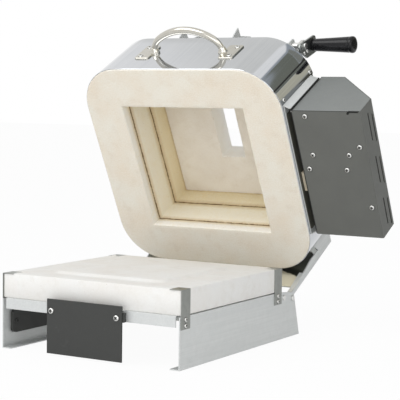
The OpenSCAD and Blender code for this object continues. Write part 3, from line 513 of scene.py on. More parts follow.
def rounded_loop(half_x, half_y, radius, z, mid_y=0.0, side=24, corner=10):
    """Points round a rectangle with rounded corners: corner steps and side steps in turn."""
    signs = ((1, 1), (-1, 1), (-1, -1), (1, -1))

    def on_corner(quarter, a):
        sign_x, sign_y = signs[quarter % 4]
        centre = Vector((sign_x * (half_x - radius), sign_y * (half_y - radius)))
        return Vector((centre.x + radius * math.cos(a), mid_y + centre.y + radius * math.sin(a), z))
    points = []
    for quarter in range(4):
        start = quarter * math.pi / 2
        points += [on_corner(quarter, start + math.pi / 2 * step / corner)
                   for step in range(corner + 1)]
        last, ahead = points[-1], on_corner(quarter + 1, start + math.pi / 2)
        points += [last.lerp(ahead, step / side) for step in range(1, side)]
    return points


def loft(bm, loops, closed=False, caps=False):
    """Quads between loops of equal length."""
    rows = [[bm.verts.new(point) for point in loop] for loop in loops]
    pairs = list(zip(rows, rows[1:]))
    if closed:
        pairs.append((rows[-1], rows[0]))
    for first, second in pairs:
        count = len(first)
        for i in range(count):
            j = (i + 1) % count
            bm.faces.new((first[i], first[j], second[j], second[i]))
    if caps:
        bm.faces.new(rows[0])
        bm.faces.new(rows[-1])


def ring_of(radius, height, steps, place):
    """Points evenly round a circle about Z, moved to place."""
    turns = [math.tau * i / steps for i in range(steps)]
    return [place @ Vector((radius * math.cos(a), radius * math.sin(a), height)) for a in turns]


# Blender's noise starts from the clock unless it is given a seed. With this one the worn board
# stays below most of each clip's tab.
WEAR_SEED = 4467
noise.seed_set(WEAR_SEED)


def crumble(point, amount, size, seed):
    """Moves a point a little, the same way each run, as a soft board's edge wears."""
    at = Vector(point) / size + Vector((seed, seed * 1.7, seed * 0.6))
    return Vector(point) + amount * noise.noise_vector(at)


def lathe(bm, profile, steps=48, place=Matrix()):
    """Turns (radius, height) points about Z; an end at radius 0 closes in a point."""
    rows = []
    for radius, height in profile:
        points = ring_of(radius, height, steps if radius else 1, place)
        rows.append([bm.verts.new(point) for point in points])
    for first, second in zip(rows, rows[1:]):
        for i in range(steps):
            j = (i + 1) % steps
            ring = [first[i % len(first)], first[j % len(first)],
                    second[j % len(second)], second[i % len(second)]]
            face = list(dict.fromkeys(ring))
            if len(face) > 2:
                bm.faces.new(face)


def tube(bm, path, radii, sides=20):
    """A round bar along path with its own radius at each point, closed at both ends."""
    rows = []
    across = Vector((0, 0, 1))
    for i, point in enumerate(path):
        ahead = (path[min(i + 1, len(path) - 1)] - path[max(i - 1, 0)]).normalized()
        side = across.cross(ahead).normalized()
        up = ahead.cross(side).normalized()
        rows.append([point + radii[i] * (side * math.cos(math.tau * k / sides)
                                         + up * math.sin(math.tau * k / sides))
                     for k in range(sides)])
    loft(bm, rows, caps=True)


# The thin ring of painted shade under each screw head: its rim beyond the head and its thickness
SHADE_RING_RIM = 0.5
SHADE_RING_T = 0.14
SCREW_STEPS = 48
SCREW_RINGS = 11


def cross_screw(bm, place, radius, height, seed):
    """A pan head with a cross recess, standing on z = 0 of place; painted shade darkens the recess and
    a thin ring under the head.
    """
    before = set(bm.faces)
    # A thin ring of painted shade under the head
    lathe(bm, [(0, 0), (radius + SHADE_RING_RIM, 0), (radius + SHADE_RING_RIM - 0.05, SHADE_RING_T),
               (0, SHADE_RING_T)], 32, place)
    for face in set(bm.faces) - before:
        face.material_index = 1
    steps, rings = SCREW_STEPS, SCREW_RINGS
    spin = place @ Matrix.Rotation(seed * 2.3, 4, "Z")
    arm, reach, depth = radius * 0.21, radius * 0.6, height * 0.72
    rows = [[bm.verts.new(point) for point in ring_of(radius, 0, steps, spin)]]
    for ring in range(1, rings):
        share = 1 - ring / rings
        r = radius * (0.985 * share ** 0.75)
        row = []
        for i in range(steps):
            a = math.tau * i / steps
            x, y = r * math.cos(a), r * math.sin(a)
            z = height * math.sqrt(max(0.0, 1 - (0.93 * r / radius) ** 2.6))
            if r < reach and min(abs(x), abs(y)) < arm:
                z -= depth * (1 - 0.35 * r / reach)
            row.append(bm.verts.new(spin @ Vector((x, y, z))))
        rows.append(row)
    # The cross recess and the head's middle take the dark material: painted shade in the recess
    back = spin.inverted()
    for first, second in zip(rows, rows[1:]):
        for i in range(steps):
            j = (i + 1) % steps
            face = bm.faces.new((first[i], first[j], second[j], second[i]))
            at = back @ face.calc_center_median()
            if math.hypot(at.x, at.y) < reach and min(abs(at.x), abs(at.y)) < arm:
                face.material_index = 1
    bm.faces.new(rows[-1]).material_index = 1


def screws(name, places, body, place, radius, height=1.7, material=ZINC):
    bm = bmesh.new()
    for i, at in enumerate(places):
        cross_screw(bm, at, radius, height, 0.7 + i)
    piece(name, bm, material, body, place, smooth=50).data.materials.append(RECESS_PAINTED_SHADE)


# Fibre chamber

# The groove for an element: half its mouth's height, its lip and the bed behind the lip
MOUTH = 0.8
LIP = 3
BED_HALF = 3.05
BED_DEPTH = 7
RING_OUT = SHELL_HALF - JACKET_T
RING_R = SHELL_R - JACKET_T
INNER_R = 0.8
SIDE_STEPS = 96
CORNER_STEPS = 8


def ring_loop(share, half, z, wear=0.0, seed=0.0):
    """A loop between the chamber's sharp square, share 0, and the rings' outline, share 1."""
    radius = INNER_R + share * (RING_R - INNER_R)
    loop = rounded_loop(half, half, radius, z, CHAMBER_MID * (1 - share), SIDE_STEPS, CORNER_STEPS)
    if wear:
        loop = [crumble(crumble(p, wear, 7.0, seed), wear * 0.6, 2.2, seed + 5) for p in loop]
    return loop


def inner_side(z, up, seed):
    """Loops of a groove's edge at height z, from the chamber wall to the back of the bed.
    up is 1 on the ring below the joint and -1 on the ring above it."""
    wall = CHAMBER_HALF
    return [ring_loop(0, wall, z - up * (MOUTH + 1.6), 0.15, seed),
            ring_loop(0, wall + 0.15, z - up * (MOUTH + 0.5), 0.55, seed),
            ring_loop(0, wall + 0.8, z - up * MOUTH, 0.45, seed),
            ring_loop(0, wall + LIP, z - up * MOUTH, 0.1, seed),
            ring_loop(0, wall + LIP, z - up * BED_HALF),
            ring_loop(0, wall + LIP + BED_DEPTH, z - up * BED_HALF),
            ring_loop(0, wall + LIP + BED_DEPTH, z)]


def outer_side(low, high):
    """Loops of a ring's outside, its two edges worn round."""
    worn = 0.7
    return [ring_loop(1, RING_OUT - worn, high), ring_loop(1, RING_OUT, high - worn),
            ring_loop(1, RING_OUT, low + worn), ring_loop(1, RING_OUT - worn, low)]


def flat_loops(z, shares, wear, seed):
    """Loops across a ring's flat face, from the outline inwards."""
    span = RING_OUT - CHAMBER_HALF
    return [ring_loop(share, CHAMBER_HALF + share * span, z, wear, seed) for share in shares]


def chamber_rings():
    """Three stacked rings; where two meet, a groove holds a heating element."""
    wall = CHAMBER_HALF
    face = flat_loops(0, (0.97, 0.8, 0.6, 0.4, 0.22, 0.09), 0.10, 3.0)
    lower = (face
             + [ring_loop(0.01, wall + 1.3, 0.0, 0.20, 4), ring_loop(0, wall + 0.35, 0.35, 0.25, 4),
                ring_loop(0, wall, 1.3, 0.2, 4), ring_loop(0, wall, 8, 0.12, 4)]
             + inner_side(JOINT_1, 1, 11) + outer_side(0, JOINT_1))
    middle = (list(reversed(inner_side(JOINT_1, -1, 23)))
              + [ring_loop(0, wall, 36, 0.15, 6), ring_loop(0, wall, 52, 0.15, 7)]
              + inner_side(JOINT_2, 1, 37) + outer_side(JOINT_1, JOINT_2))
    upper = (list(reversed(inner_side(JOINT_2, -1, 41)))
             + [ring_loop(0, wall, 90, 0.15, 8), ring_loop(0, wall, RING_TOP - 1.4, 0.3, 9),
                ring_loop(0, wall + 0.7, RING_TOP, 0.3, 9)]
             + outer_side(JOINT_2, RING_TOP))
    for name, loops in (("ring_lower", lower), ("ring_middle", middle), ("ring_upper", upper)):
        bm = bmesh.new()
        loft(bm, loops, closed=True)
        made = piece(name, bm, FIRED_FIBRE, "shell", SHELL, smooth=60)
        if name == "ring_lower":
            made.data.materials.append(FACE_FIBRE)
            down = (SHELL.to_3x3() @ Vector((0, 0, -1))).normalized()
            for face in made.data.polygons:
                if face.normal.dot(down) > 0.75:
                    face.material_index = 1


CEILING_WORN = 0.8


def ceiling_board():
    """Board over the chamber, with the slot that the door covers."""
    loops = []
    edge = CEILING_HALF - CEILING_WORN
    for share in (0.0, 0.12, 0.35, 0.6, 0.8, 0.95):
        half_x = edge + share * (SLOT_HALF_X - edge)
        half_y = edge + share * (SLOT_HALF_Y - edge)
        loops.append(rounded_loop(half_x, half_y, 3 - 1.5 * share, RING_TOP, SLOT_MID * share, 40, 6))
    slot = [(0.9, RING_TOP + 0.0), (0.1, RING_TOP + 0.9), (0.0, RING_TOP + 12),
            (0.0, CEILING_TOP - 10), (0.1, CEILING_TOP - 0.9), (0.9, CEILING_TOP)]
    for spread, z in slot:
        loop = rounded_loop(SLOT_HALF_X + spread, SLOT_HALF_Y + spread, 1.5 + spread, z,
                            SLOT_MID, 40, 6)
        loops.append([crumble(crumble(p, 0.35, 6, 3), 0.2, 2, 9) for p in loop])
    for half, radius, z in ((edge, 3, CEILING_TOP),
                            (CEILING_HALF, 3.8, CEILING_TOP - CEILING_WORN),
                            (CEILING_HALF, 3.8, RING_TOP + CEILING_WORN)):
        loops.append(rounded_loop(half, half, radius, z, 0, 40, 6))
    bm = bmesh.new()
    loft(bm, loops, closed=True)
    made = piece("ceiling_board", bm, CEILING_FIBRE, "shell", SHELL, smooth=60)
    made.data.materials.append(SLOT_PAINTED_LIGHT)
    # The slot's walls take the paler fibre as painted light
    back = SHELL.inverted()
    for face in made.data.polygons:
        at = back @ face.center
        beside = abs(at.x) < SLOT_HALF_X + 1 and abs(at.y - SLOT_MID) < SLOT_HALF_Y + 1
        if beside and at.z > RING_TOP + 0.4:
            face.material_index = 1


TAILS = {"element_lower": (JOINT_1, (10, 25)), "element_upper": (JOINT_2, (-20, -4))}
TAIL_END = 190
COIL_R = 2.3
COIL_PITCH = 3.4
COIL_POINTS = 9
WIRE_R = 0.6


def element_path(z, tails):
    """Centre line of a wound element: straight tail, coil round the groove, straight tail."""
    half = CHAMBER_HALF + LIP + 3.4
    corners = [(half, tails[1] - 2), (half, CHAMBER_MID + half), (-half, CHAMBER_MID + half),
               (-half, CHAMBER_MID - half), (half, CHAMBER_MID - half), (half, tails[0] + 2)]
    path = [Vector((TAIL_END, tails[1], z)), Vector((half + 4, tails[1], z))]
    angle = 0.0
    for (x1, y1), (x2, y2) in zip(corners, corners[1:]):
        start, end = Vector((x1, y1, z)), Vector((x2, y2, z))
        along = (end - start).normalized()
        up = Vector((0, 0, 1))
        side = up.cross(along)
        steps = int((end - start).length / COIL_PITCH * COIL_POINTS)
        for step in range(steps):
            centre = start.lerp(end, step / steps)
            path.append(centre + COIL_R * (side * math.cos(angle) + up * math.sin(angle)))
            angle += math.tau / COIL_POINTS
    return path + [Vector((half + 4, tails[0], z)), Vector((TAIL_END, tails[0], z))]


def heating_elements():
    """Coils of resistance wire in the grooves, with straight tails out to the control box."""
    for node, (z, tails) in TAILS.items():
        curve = bpy.data.curves.new(node, "CURVE")
        curve.dimensions = "3D"
        curve.bevel_depth = WIRE_R * MM
        curve.bevel_resolution = 1
        spline = curve.splines.new("POLY")
        path = [SHELL @ p for p in element_path(z, tails)]
        spline.points.add(len(path) - 1)
        for point, place in zip(spline.points, path):
            point.co = (*place, 1)
        drawn = bpy.data.objects.new(node + "_path", curve)
        mesh = bpy.data.meshes.new_from_object(drawn)
        bpy.data.objects.remove(drawn)
        finish_piece(node, mesh, FIRED_WIRE, "shell", SHELL, smooth=60)


# Jacket, cover and handle

JACKET_BEND = 2.6


def jacket():
    """Polished sheet wrapped round the rings, turned in over their top."""
    def loop(inset, z):
        half = SHELL_HALF - inset
        return rounded_loop(half, half, SHELL_R - inset, z, 0, 6, 36)
    loops = [loop(0.0, JACKET_FOOT + 0.5)]
    loops += [loop(0.0, JACKET_FOOT + 6 + i * 16) for i in range(6)]
    for step in range(7):
        a = math.pi / 2 * step / 6
        loops.append(loop(JACKET_BEND * (1 - math.cos(a)),
                          JACKET_TOP - JACKET_BEND * (1 - math.sin(a))))
    loops += [loop(8, JACKET_TOP), loop(16.6, JACKET_TOP), loop(17, JACKET_TOP - 0.3),
              loop(17, RING_TOP + 0.1), loop(1.2, RING_TOP + 0.1), loop(1.0, RING_TOP - 0.5),
              loop(1.0, JACKET_FOOT + 0.5), loop(0.7, JACKET_FOOT), loop(0.3, JACKET_FOOT)]
    bm = bmesh.new()
    loft(bm, loops, closed=True)
    seam_strip(bm)
    piece("jacket", bm, POLISHED, "shell", SHELL, smooth=30)


LAP_T = 0.8
LAP_TOP = JACKET_TOP - 1.6
SEAM_TURN = -12
# Where the lap's free edge is on the rounded corner, in degrees, and where the lap ends
LAP_FROM = -27.0
LAP_TO = -7.0
COVER_SCREWS = ((-155, 0), (155, 0), (-108, 150), (108, 150), (-108, -150), (0, 155))


def off_corner(degrees, lift, z):
    """A point at a height, lifted off the jacket's right front corner."""
    a = math.radians(degrees)
    return Vector((SHELL_HALF - SHELL_R + (SHELL_R + lift) * math.cos(a),
                   SHELL_R - SHELL_HALF + (SHELL_R + lift) * math.sin(a), z))


def seam_strip(bm):
    """The jacket's lapped end on the right front corner."""
    rows, steps = [], 16
    for i in range(steps + 1):
        degrees = LAP_FROM + (LAP_TO - LAP_FROM) * i / steps
        lift = LAP_T * min(1.0, 0.55 + i * 0.25)
        rows.append([off_corner(degrees, up, z) for up, z in (
            (0.02, JACKET_FOOT), (lift, JACKET_FOOT), (lift, (JACKET_FOOT + LAP_TOP) / 2),
            (lift, LAP_TOP), (0.02, LAP_TOP))])
    loft(bm, rows, caps=True)


def seam_painted_shadow():
    """A black strip of painted shadow along the lap's free edge."""
    bm = bmesh.new()
    low, high = JACKET_FOOT, LAP_TOP - 0.1
    loft(bm, [[off_corner(LAP_FROM - back, lift, z)
               for lift, z in ((0.02, low), (0.35, low), (0.35, high), (0.02, high))]
              for back in (0.1, 1.0, 2.0)], caps=True)
    piece("seam_painted_shadow", bm, PAINTED_SHADOW_BLACK, "shell", SHELL)


def shell_screws():
    """The two screws of the lapped seam and the six of the top cover."""
    corner = SHELL_HALF - SHELL_R
    places = [shift(corner, -corner, z) @ turn(SEAM_TURN, "Z") @ shift(SHELL_R + LAP_T, 0, 0)
              @ turn(90, "Y") for z in (JACKET_FOOT + 10, JACKET_TOP - 9)]
    places += [shift(x, y, COVER_DECK) for x, y in COVER_SCREWS]
    screws("shell_screws", places, "shell", SHELL, 3.1)


def handle_path():
    """Middle line of the carrying handle: two side arcs and a flatter arc over the top."""
    side = HANDLE_SIDE
    run, gap = HANDLE_HALF - side, HANDLE_RISE - side
    sink = (run * run - gap * gap) / (2 * gap)
    top = HANDLE_RISE + sink
    lean = math.atan2(run, sink)
    path = []
    for i in range(14):
        a = (math.pi / 2 - lean) * i / 14
        path.append(Vector((run + side * math.cos(a), side * math.sin(a))))
    for i in range(33):
        a = math.pi / 2 - lean + 2 * lean * i / 32
        path.append(Vector((top * math.cos(a), top * math.sin(a) - sink)))
    for i in range(14):
        a = math.pi / 2 + lean + (math.pi / 2 - lean) * (i + 1) / 14
        path.append(Vector((-run + side * math.cos(a), side * math.sin(a))))
    return [Vector((p.x, -SHELL_HALF - p.y, HANDLE_Z)) for p in path]


def carry_handle():
    """Plated D handle, full in the middle and slim at its ends, on two feet with raised sockets."""
    path = handle_path()
    last = len(path) - 1
    radii = [3.6 + 1.9 * math.sin(math.pi * i / last) ** 0.6 for i in range(last + 1)]
    bm = bmesh.new()
    tube(bm, path, radii, 24)
    for side in (-1, 1):
        socket = shift(side * HANDLE_HALF, -SHELL_HALF, HANDLE_Z) @ turn(90, "X")
        lathe(bm, [(0, 0.1), (7.4, 0.1), (7.4, 2.2), (6.4, 3.4), (5.6, 5.2), (4.9, 8.2), (4.1, 9.2),
                   (3.4, 9.6), (0, 9.6)], 32, socket)
    piece("carry_handle", bm, NICKEL, "shell", SHELL)
    for side, word in ((-1, "left"), (1, "right")):
        foot = bmesh.new()
        loops = []
        for inset, lift in ((0.5, 0.0), (0.0, 0.5), (0.0, FOOT_T - 0.5), (0.5, FOOT_T)):
            loop = rounded_loop(FOOT_HALF_X - inset, FOOT_HALF_Y - inset, 4 - inset, lift, 0, 4, 8)
            loops.append([Vector((side * HANDLE_FOOT_X + p.x, -SHELL_HALF - p.z, HANDLE_Z + p.y))
                          for p in loop])
        loft(foot, loops, caps=True)
        piece("handle_foot_" + word, foot, NICKEL, "shell", SHELL)
    places = [shift(side * (HANDLE_FOOT_X + 4), -SHELL_HALF - FOOT_T, HANDLE_Z + z) @ turn(90, "X")
              for side in (-1, 1) for z in (-14, 14)]
    screws("handle_screws", places, "shell", SHELL, 3.4)


# Base

# How far the plateau's soft slope reaches outwards and inwards from its nominal edge
SLOPE_OUT = 3.5
SLOPE_IN = 6


def floor_board():
    """White fibre slab with a soft raised plateau."""
    mid = (BOARD_FRONT + BOARD_REAR) / 2
    half_y = (BOARD_REAR - BOARD_FRONT) / 2

    def loop(inset, z, wear=0.0, radius=2.0):
        points = rounded_loop(BASE_HALF - inset, half_y - inset, radius, z, mid, 60, 6)
        return [crumble(p, wear, 9, 2) for p in points] if wear else points

    def pad(spread, z, radius):
        return rounded_loop(PLATEAU_HALF_X + spread, PLATEAU_HALF_Y + spread, radius, z,
                            PLATEAU_MID, 60, 6)
    top = BOARD_TOP
    loops = [loop(0.8, PAN_TOP + 0.05), loop(0.0, PAN_TOP + 0.9, 0.1), loop(0.0, top - 1.5, 0.12),
             loop(0.35, top - 0.5, 0.2, 2.4), loop(1.3, top, 0.15, 3), loop(10, top, 0.05, 6),
             loop(30, top, 0.0, 10)]
    for i in range(9):
        share = i / 8
        rise = share * share * (3 - 2 * share)
        spread = SLOPE_OUT - (SLOPE_OUT + SLOPE_IN) * share
        loops.append(pad(spread, top + PLATEAU_H * rise, 16 - 4 * share))
    loops += [pad(spread, top + PLATEAU_H, radius)
              for spread, radius in ((-9, 12), (-30, 9), (-60, 6), (-85, 2))]
    bm = bmesh.new()
    loft(bm, loops, caps=True)
    piece("floor_board", bm, WHITE_FIBRE, "base", smooth=50)


CLIP_SCREW_Y = (BOARD_FRONT + 10, BOARD_REAR - 10)
CLIP_SCREW_Z = (PAN_TOP - 5.5, PAN_TOP - 13.5)
PLATE_SCREW_X = (-53, 51.5)
PLATE_SCREW_Z = 60.5
PLATE_FACE = -PANEL_FRONT - 9
STIFFENER_FACE = -BASE_HALF + 5.5
STIFFENER_SCREW_Y = (-113, 112)
STIFFENER_SCREW_Z = 35


def base_pieces():
    dress("side_panel_left side_panel_right base_pan rear_brace", GALVANISED, "base",
          bevel=0.35)
    dress("clip_front_left clip_front_right clip_rear_left clip_rear_right", CLIP_STEEL, "base")
    dress("front_plate plate_spacer side_stiffener", BLACK_PAINT, "base")
    dress("hinge_pin_left hinge_pin_right stop_pins", ZINC, "base")
    places = [shift(side * (BASE_HALF + CLIP_T), y, z) @ turn(90 * side, "Y")
              for side in (-1, 1) for y in CLIP_SCREW_Y for z in CLIP_SCREW_Z]
    screws("clip_screws", places, "base", BENCH, 2.9)
    places = [shift(x, PLATE_FACE, PLATE_SCREW_Z) @ turn(90, "X") for x in PLATE_SCREW_X]
    screws("plate_screws", places, "base", BENCH, 4.0, 2.2)
    places = [shift(STIFFENER_FACE, y, STIFFENER_SCREW_Z) @ turn(90, "Y")
              for y in STIFFENER_SCREW_Y]
    screws("stiffener_screws", places, "base", BENCH, 3.6, 1.7, BLACK_PAINT)


# Yoke, bracket and door

def shell_metal():
    dress("yoke_spacers side_bracket door_bracket shaft_bearing", GALVANISED, "shell",
          SHELL)
    dress("hinge_yoke", YOKE_SHEET_PAINTED_SHADE, "shell", SHELL)
    dress("top_cover", POLISHED, "shell", SHELL, 0.45)
    dress("yoke_bolts", ZINC, "shell", SHELL)
    dress("thermocouple", PORCELAIN, "shell", SHELL)
    dress("tail_insulators", INSULATOR, "shell", SHELL, 0.6)


LEVER_SCREWS = ((9, -4), (10, 5))


def door_pieces():
    dress("door_shaft", ZINC, "door", DOOR)
    dress("door_arms", GALVANISED, "door", DOOR)
    dress("door_pan", POLISHED, "door", DOOR)
    dress("lever_hub", ZINC, "door", SHELL, 0.4)
    dress("lever_plate", DARK_STEEL, "door", SHELL, 0.35)
    dress("door_block", WHITE_FIBRE, "door", DOOR, 0.9, 3)
    places = [shift(LEVER_END, SHAFT_Y + y, SHAFT_Z + z) @ turn(90, "Y") for y, z in LEVER_SCREWS]
    screws("lever_screws", places, "door", SHELL, 2.6)
    lever_grip()


def lever_grip():
    """Black grip that swells towards its outer end, with a ring and a domed end."""
    length = GRIP_LENGTH
    profile = [(0, 0), (7.6, 0), (8.6, 0.3), (9.2, 1.2), (9.3, 3.0), (9.0, 4.4), (9.2, 6)]
    profile += [(9.2 + 2.4 * (t / 12) ** 1.1, 6 + (length - 16) * t / 12) for t in range(1, 13)]
    profile += [(11.6, length - 9), (11.3, length - 8.4), (11.4, length - 7.6), (11.9, length - 6.6),
                (12.2, length - 4.6), (12.1, length - 2.8), (11.5, length - 1.4),
                (10.2, length - 0.6), (8.0, length - 0.25), (5.2, length - 0.08), (2.6, length),
                (0, length)]
    bm = bmesh.new()
    lathe(bm, profile, 64, shift(LEVER_END, GRIP_Y, GRIP_Z) @ turn(90, "Y"))
    piece("lever_grip", bm, GRIP_PLASTIC, "door", SHELL, smooth=48)


# Control box

BOX_SCREWS = ((196.4, -92.5), (196.8, -32), (187, -9.4), (252.3, -33.4), (244.8, -9.9),
              (270.4, -46.6), (271.6, 49.2))
PANEL_Y = -35
KEY_PITCH = 22
KEY_ROW = -18
KEY_TOP = 4.7
KEY_LOW = -2.3
# Half the width and the height of the sheet of painted shade behind the bracket
PAINTED_SHADE_SHEET_HALF = (94, 47)


def block(bm, low, high):
    """A box between two corners."""
    bmesh.ops.create_cube(bm, size=1, matrix=Matrix.Translation((Vector(low) + Vector(high)) / 2)
                          @ Matrix.Diagonal((*(Vector(high) - Vector(low)), 1)))


def box_painted_shadow():
    """Black strips of painted shadow in the gaps beside and under the box's front panel."""
    low, high, front = BOX_LOW, BOX_HIGH, BOX_FRONT
    bm = bmesh.new()
    for strip in (
            ((BOX_LEFT - 2.6, front - 2.4, low - 0.1), (BOX_LEFT + 0.6, front + 0.1, high - 8)),
            ((RELIEF_FROM - 1, front - 0.05, low - 0.12), (BOX_RIGHT - 4, front + 1.8, low + 0.1)),
            ((RELIEF_FROM - 2, front + 1.8, low - 0.12), (RELIEF_FROM + 1, front + 4.6, low + 0.1)),
            ((BOX_LEFT + 0.5, front - 0.25, low - 0.15), (RELIEF_FROM, front + 0.1, low + 0.8)),
            ((BOX_LEFT - 0.7, front + 2, low - 0.25), (BOX_LEFT + 0.6, BOX_BACK - 2, low + 0.1))):
        block(bm, *strip)
    piece("box_painted_shadow", bm, PAINTED_SHADOW_BLACK, "shell", SHELL, 0.15)


def bracket_painted_shade():
    """A dark sheet of painted shade on the side bracket's face, behind the gap beside the box."""
    shade_sheet = bmesh.new()
    loops = [[Vector((x, p.x, p.y + BRACKET_MID)) for p in rounded_loop(*PAINTED_SHADE_SHEET_HALF, 4, 0, 0, 4, 6)]
             for x in (BRACKET_FACE + 0.05, BRACKET_FACE + 0.6)]
    loft(shade_sheet, loops, caps=True)
    piece("bracket_painted_shade", shade_sheet, PAINTED_SHADE_SHEET, "shell", SHELL)


def control_box():
    dress("box_body box_cover box_rear", BOX_PAINT, "shell", SHELL, 0.45)
    # The front panel in the lighter copy of the paint: painted light
    dress("box_front", FRONT_PAINTED_LIGHT, "shell", SHELL)
    box_painted_shadow()
    bracket_painted_shade()
    places = [shift(x, y, BOX_LOW) @ turn(180, "X") for x, y in BOX_SCREWS]
    screws("box_screws", places, "shell", SHELL, 3.6, 1.8)
    dress("controller", BLACK_PLASTIC, "shell", SLOPE, 0.6, 3)
    dress("display_window", WINDOW_PLASTIC, "shell", SLOPE, 0.2)
    dress("switch_frame", BLACK_PLASTIC, "shell", SLOPE, 0.4, 3)
    dress("switch_rocker", ROCKER_PLASTIC, "rocker", SLOPE, 0.5, 3)
    dress("relay", BLACK_PLASTIC, "shell", SHELL, 0.5)
    dress("terminal_block", PORCELAIN, "shell", SHELL, 0.6)
    for i in range(4):
        bm = bmesh.new()
        lathe(bm, [(0, KEY_LOW), (5, KEY_LOW), (5, KEY_TOP - 0.9), (4.7, KEY_TOP - 0.3), (4.1, KEY_TOP),
                   (2.6, KEY_TOP - 0.35), (0, KEY_TOP - 0.5)], 40,
              shift(PANEL_Y + (i - 1.5) * KEY_PITCH, KEY_ROW, 0))
        piece(f"key_{i + 1}", bm, KEY_PLASTIC, f"key_{i + 1}", SLOPE)


# Stage

FILL_LIGHT = 0.66
FILL_COLOUR = (0.97, 0.985, 1.0, 1)
# The floor, in metres, and the share of plain white that the lens and polished metal see in it
FLOOR_HALF = 12
FLOOR_DROP = 0.0003
FLOOR_WHITE = 0.95
FLOOR_MIRRORED = 0.55
# The studio as polished metal sees it: colour, azimuths, elevations, softness in degrees, and
# whether the azimuths are counted from the dark doorway's curved middle line.
STUDIO = ((srgb(232, 232, 230), (-45, 8), (20, 75), 4, 0),
          (srgb(168, 174, 180), (8, 80), (29, 57), 1.0, 0),
          (srgb(196, 193, 176), (8, 80), (13, 29), 1.5, 0),
          (srgb(84, 84, 76), (8, 80), (-8, 13), 2, 0),
          (srgb(138, 140, 134), (-9, -1.9), (32, 54.5), 0.15, 1),
          (srgb(118, 121, 112), (-1.4, 2.2), (30.5, 54.5), 0.15, 1))
DOOR_AZIMUTH = 42
DOOR_CURVE = 0.0189
DOOR_FOOT = 33


def background():
    """Soft white light. The lens sees white beyond the kiln, and polished metal sees white too,
    with the studio's darker side on the right, which the jacket's front corner mirrors."""
    world = bpy.data.worlds.new("studio")
    bpy.context.scene.world = world
    world.use_nodes = True
    world.node_tree.nodes.clear()
    nodes = Nodes(world.node_tree)
    maths = nodes.maths

    def between(value, low, high, soft):
        """1 where value lies between low and high, fading to 0 over soft on each side."""
        shares = []
        for at in (low, high):
            values = {"Value": value, "From Min": at - soft, "From Max": at + soft}
            step = nodes.add("ShaderNodeMapRange", values, interpolation_type="SMOOTHSTEP")
            shares.append(step.outputs["Result"])
        return maths("MULTIPLY", shares[0], maths("SUBTRACT", 1.0, shares[1]))

    east, north, height = nodes.axes(nodes.add("ShaderNodeTexCoord").outputs["Generated"])
    azimuth = maths("DEGREES", maths("ARCTAN2", east, north))
    elevation = maths("DEGREES", maths("ARCSINE", height))
    path = nodes.add("ShaderNodeLightPath").outputs
    rise = maths("SUBTRACT", elevation, DOOR_FOOT)
    bend = maths("MULTIPLY", maths("MULTIPLY", rise, rise), DOOR_CURVE)
    doorway = maths("ADD", maths("SUBTRACT", azimuth, DOOR_AZIMUTH), bend)
    seen = (1, 1, 1, 1)
    for colour, across, upward, soft, in_doorway in STUDIO:
        share = maths("MULTIPLY", between(doorway if in_doorway else azimuth, *across, soft),
                      between(elevation, *upward, soft))
        seen = nodes.mix(maths("MULTIPLY", share, path["Is Glossy Ray"]), seen, colour)
    beyond = nodes.add("ShaderNodeBackground", {"Color": seen})
    fill = nodes.add("ShaderNodeBackground", {"Color": FILL_COLOUR, "Strength": FILL_LIGHT})
    mirrored = maths("MAXIMUM", path["Is Glossy Ray"], path["Is Transmission Ray"])
    share = maths("MAXIMUM", path["Is Camera Ray"], mirrored)
    light = nodes.add("ShaderNodeMixShader", {0: share, 1: fill.outputs[0], 2: beyond.outputs[0]})
    nodes.add("ShaderNodeOutputWorld", {"Surface": light.outputs[0]})


def floor():
    """A wide white floor that keeps a soft shadow."""
    bm = bmesh.new()
    for x, y in ((-1, -1), (1, -1), (1, 1), (-1, 1)):
        bm.verts.new((x * FLOOR_HALF, y * FLOOR_HALF, -FLOOR_DROP))
    bm.faces.new(bm.verts)
    made = shown("floor", to_mesh(bm, "floor"))
    shader = Shader("floor_white", (0.86, 0.86, 0.86, 1), 0.9)
    path = shader.add("ShaderNodeLightPath").outputs
    mirrored = shader.maths("MULTIPLY", path["Is Glossy Ray"], FLOOR_MIRRORED)
    share = shader.maths("MULTIPLY_ADD", path["Is Camera Ray"], FLOOR_WHITE, mirrored)
    glow = shader.add("ShaderNodeEmission").outputs[0]
    mix = shader.add("ShaderNodeMixShader", {0: share, 1: shader.surface.outputs[0], 2: glow})
    shader.feed(shader.tree.nodes["Material Output"], {"Surface": mix.outputs[0]})
    made.data.materials.append(shader.material)


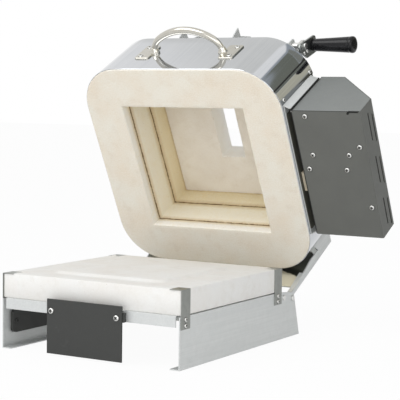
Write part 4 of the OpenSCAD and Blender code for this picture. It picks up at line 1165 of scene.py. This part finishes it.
# Lamps in metres and watts: place, the point that each looks at, size and power
LAMPS = {"key": ((-0.9, -1.7, 2.3), (0, 0, 0.2), (2.2, 1.6), 29.5),
         "front": ((0.9, -2.3, 0.6), (0.02, 0, 0.25), (1.8, 1.3), 12.5),
         "side": ((2.4, -0.9, 1.3), (0.05, 0, 0.2), (1.6, 1.6), 8)}


def lamp(name, place, target, size, power):
    light = bpy.data.lights.new(name, "AREA")
    light.shape = "RECTANGLE"
    light.size, light.size_y = size
    light.energy = power
    made = shown(name, light)
    made.location = place
    made.rotation_euler = (Vector(target) - Vector(place)).to_track_quat("-Z", "Y").to_euler()


# The camera's place in metres, its turns in degrees, and its focal length in the photograph's pixels
CAMERA_PLACE = (1.0305, -1.5934, 0.3459)
CAMERA_YAW = 30.61
CAMERA_PITCH = 4.29
CAMERA_ROLL = 0.79
FOCAL_PIXELS = 1362.5
PHOTO_PIXELS = 400


def camera():
    """The photograph's view, worked out from the corners of the shell, the base and the box."""
    yaw, pitch, roll = (math.radians(a) for a in (CAMERA_YAW, CAMERA_PITCH, CAMERA_ROLL))
    forward = Vector((-math.sin(yaw) * math.cos(pitch), math.cos(yaw) * math.cos(pitch),
                      -math.sin(pitch)))
    level = Vector((math.cos(yaw), math.sin(yaw), 0))
    above = level.cross(forward)
    right = math.cos(roll) * level + math.sin(roll) * above
    up = -math.sin(roll) * level + math.cos(roll) * above
    lens = bpy.data.cameras.new("camera")
    lens.sensor_width = 36
    lens.lens = FOCAL_PIXELS / PHOTO_PIXELS * lens.sensor_width
    lens.clip_end = 50
    made = shown("camera", lens)
    turned = Matrix((right, up, -forward)).transposed().to_4x4()
    made.matrix_world = Matrix.Translation(CAMERA_PLACE) @ turned
    bpy.context.scene.camera = made


camera()
background()
floor()
for lamp_name, settings in LAMPS.items():
    lamp(lamp_name, *settings)
bpy.context.scene.view_settings.view_transform = "Standard"

chamber_rings()
ceiling_board()
heating_elements()
jacket()
seam_painted_shadow()
shell_screws()
carry_handle()
floor_board()
base_pieces()
shell_metal()
door_pieces()
control_box()
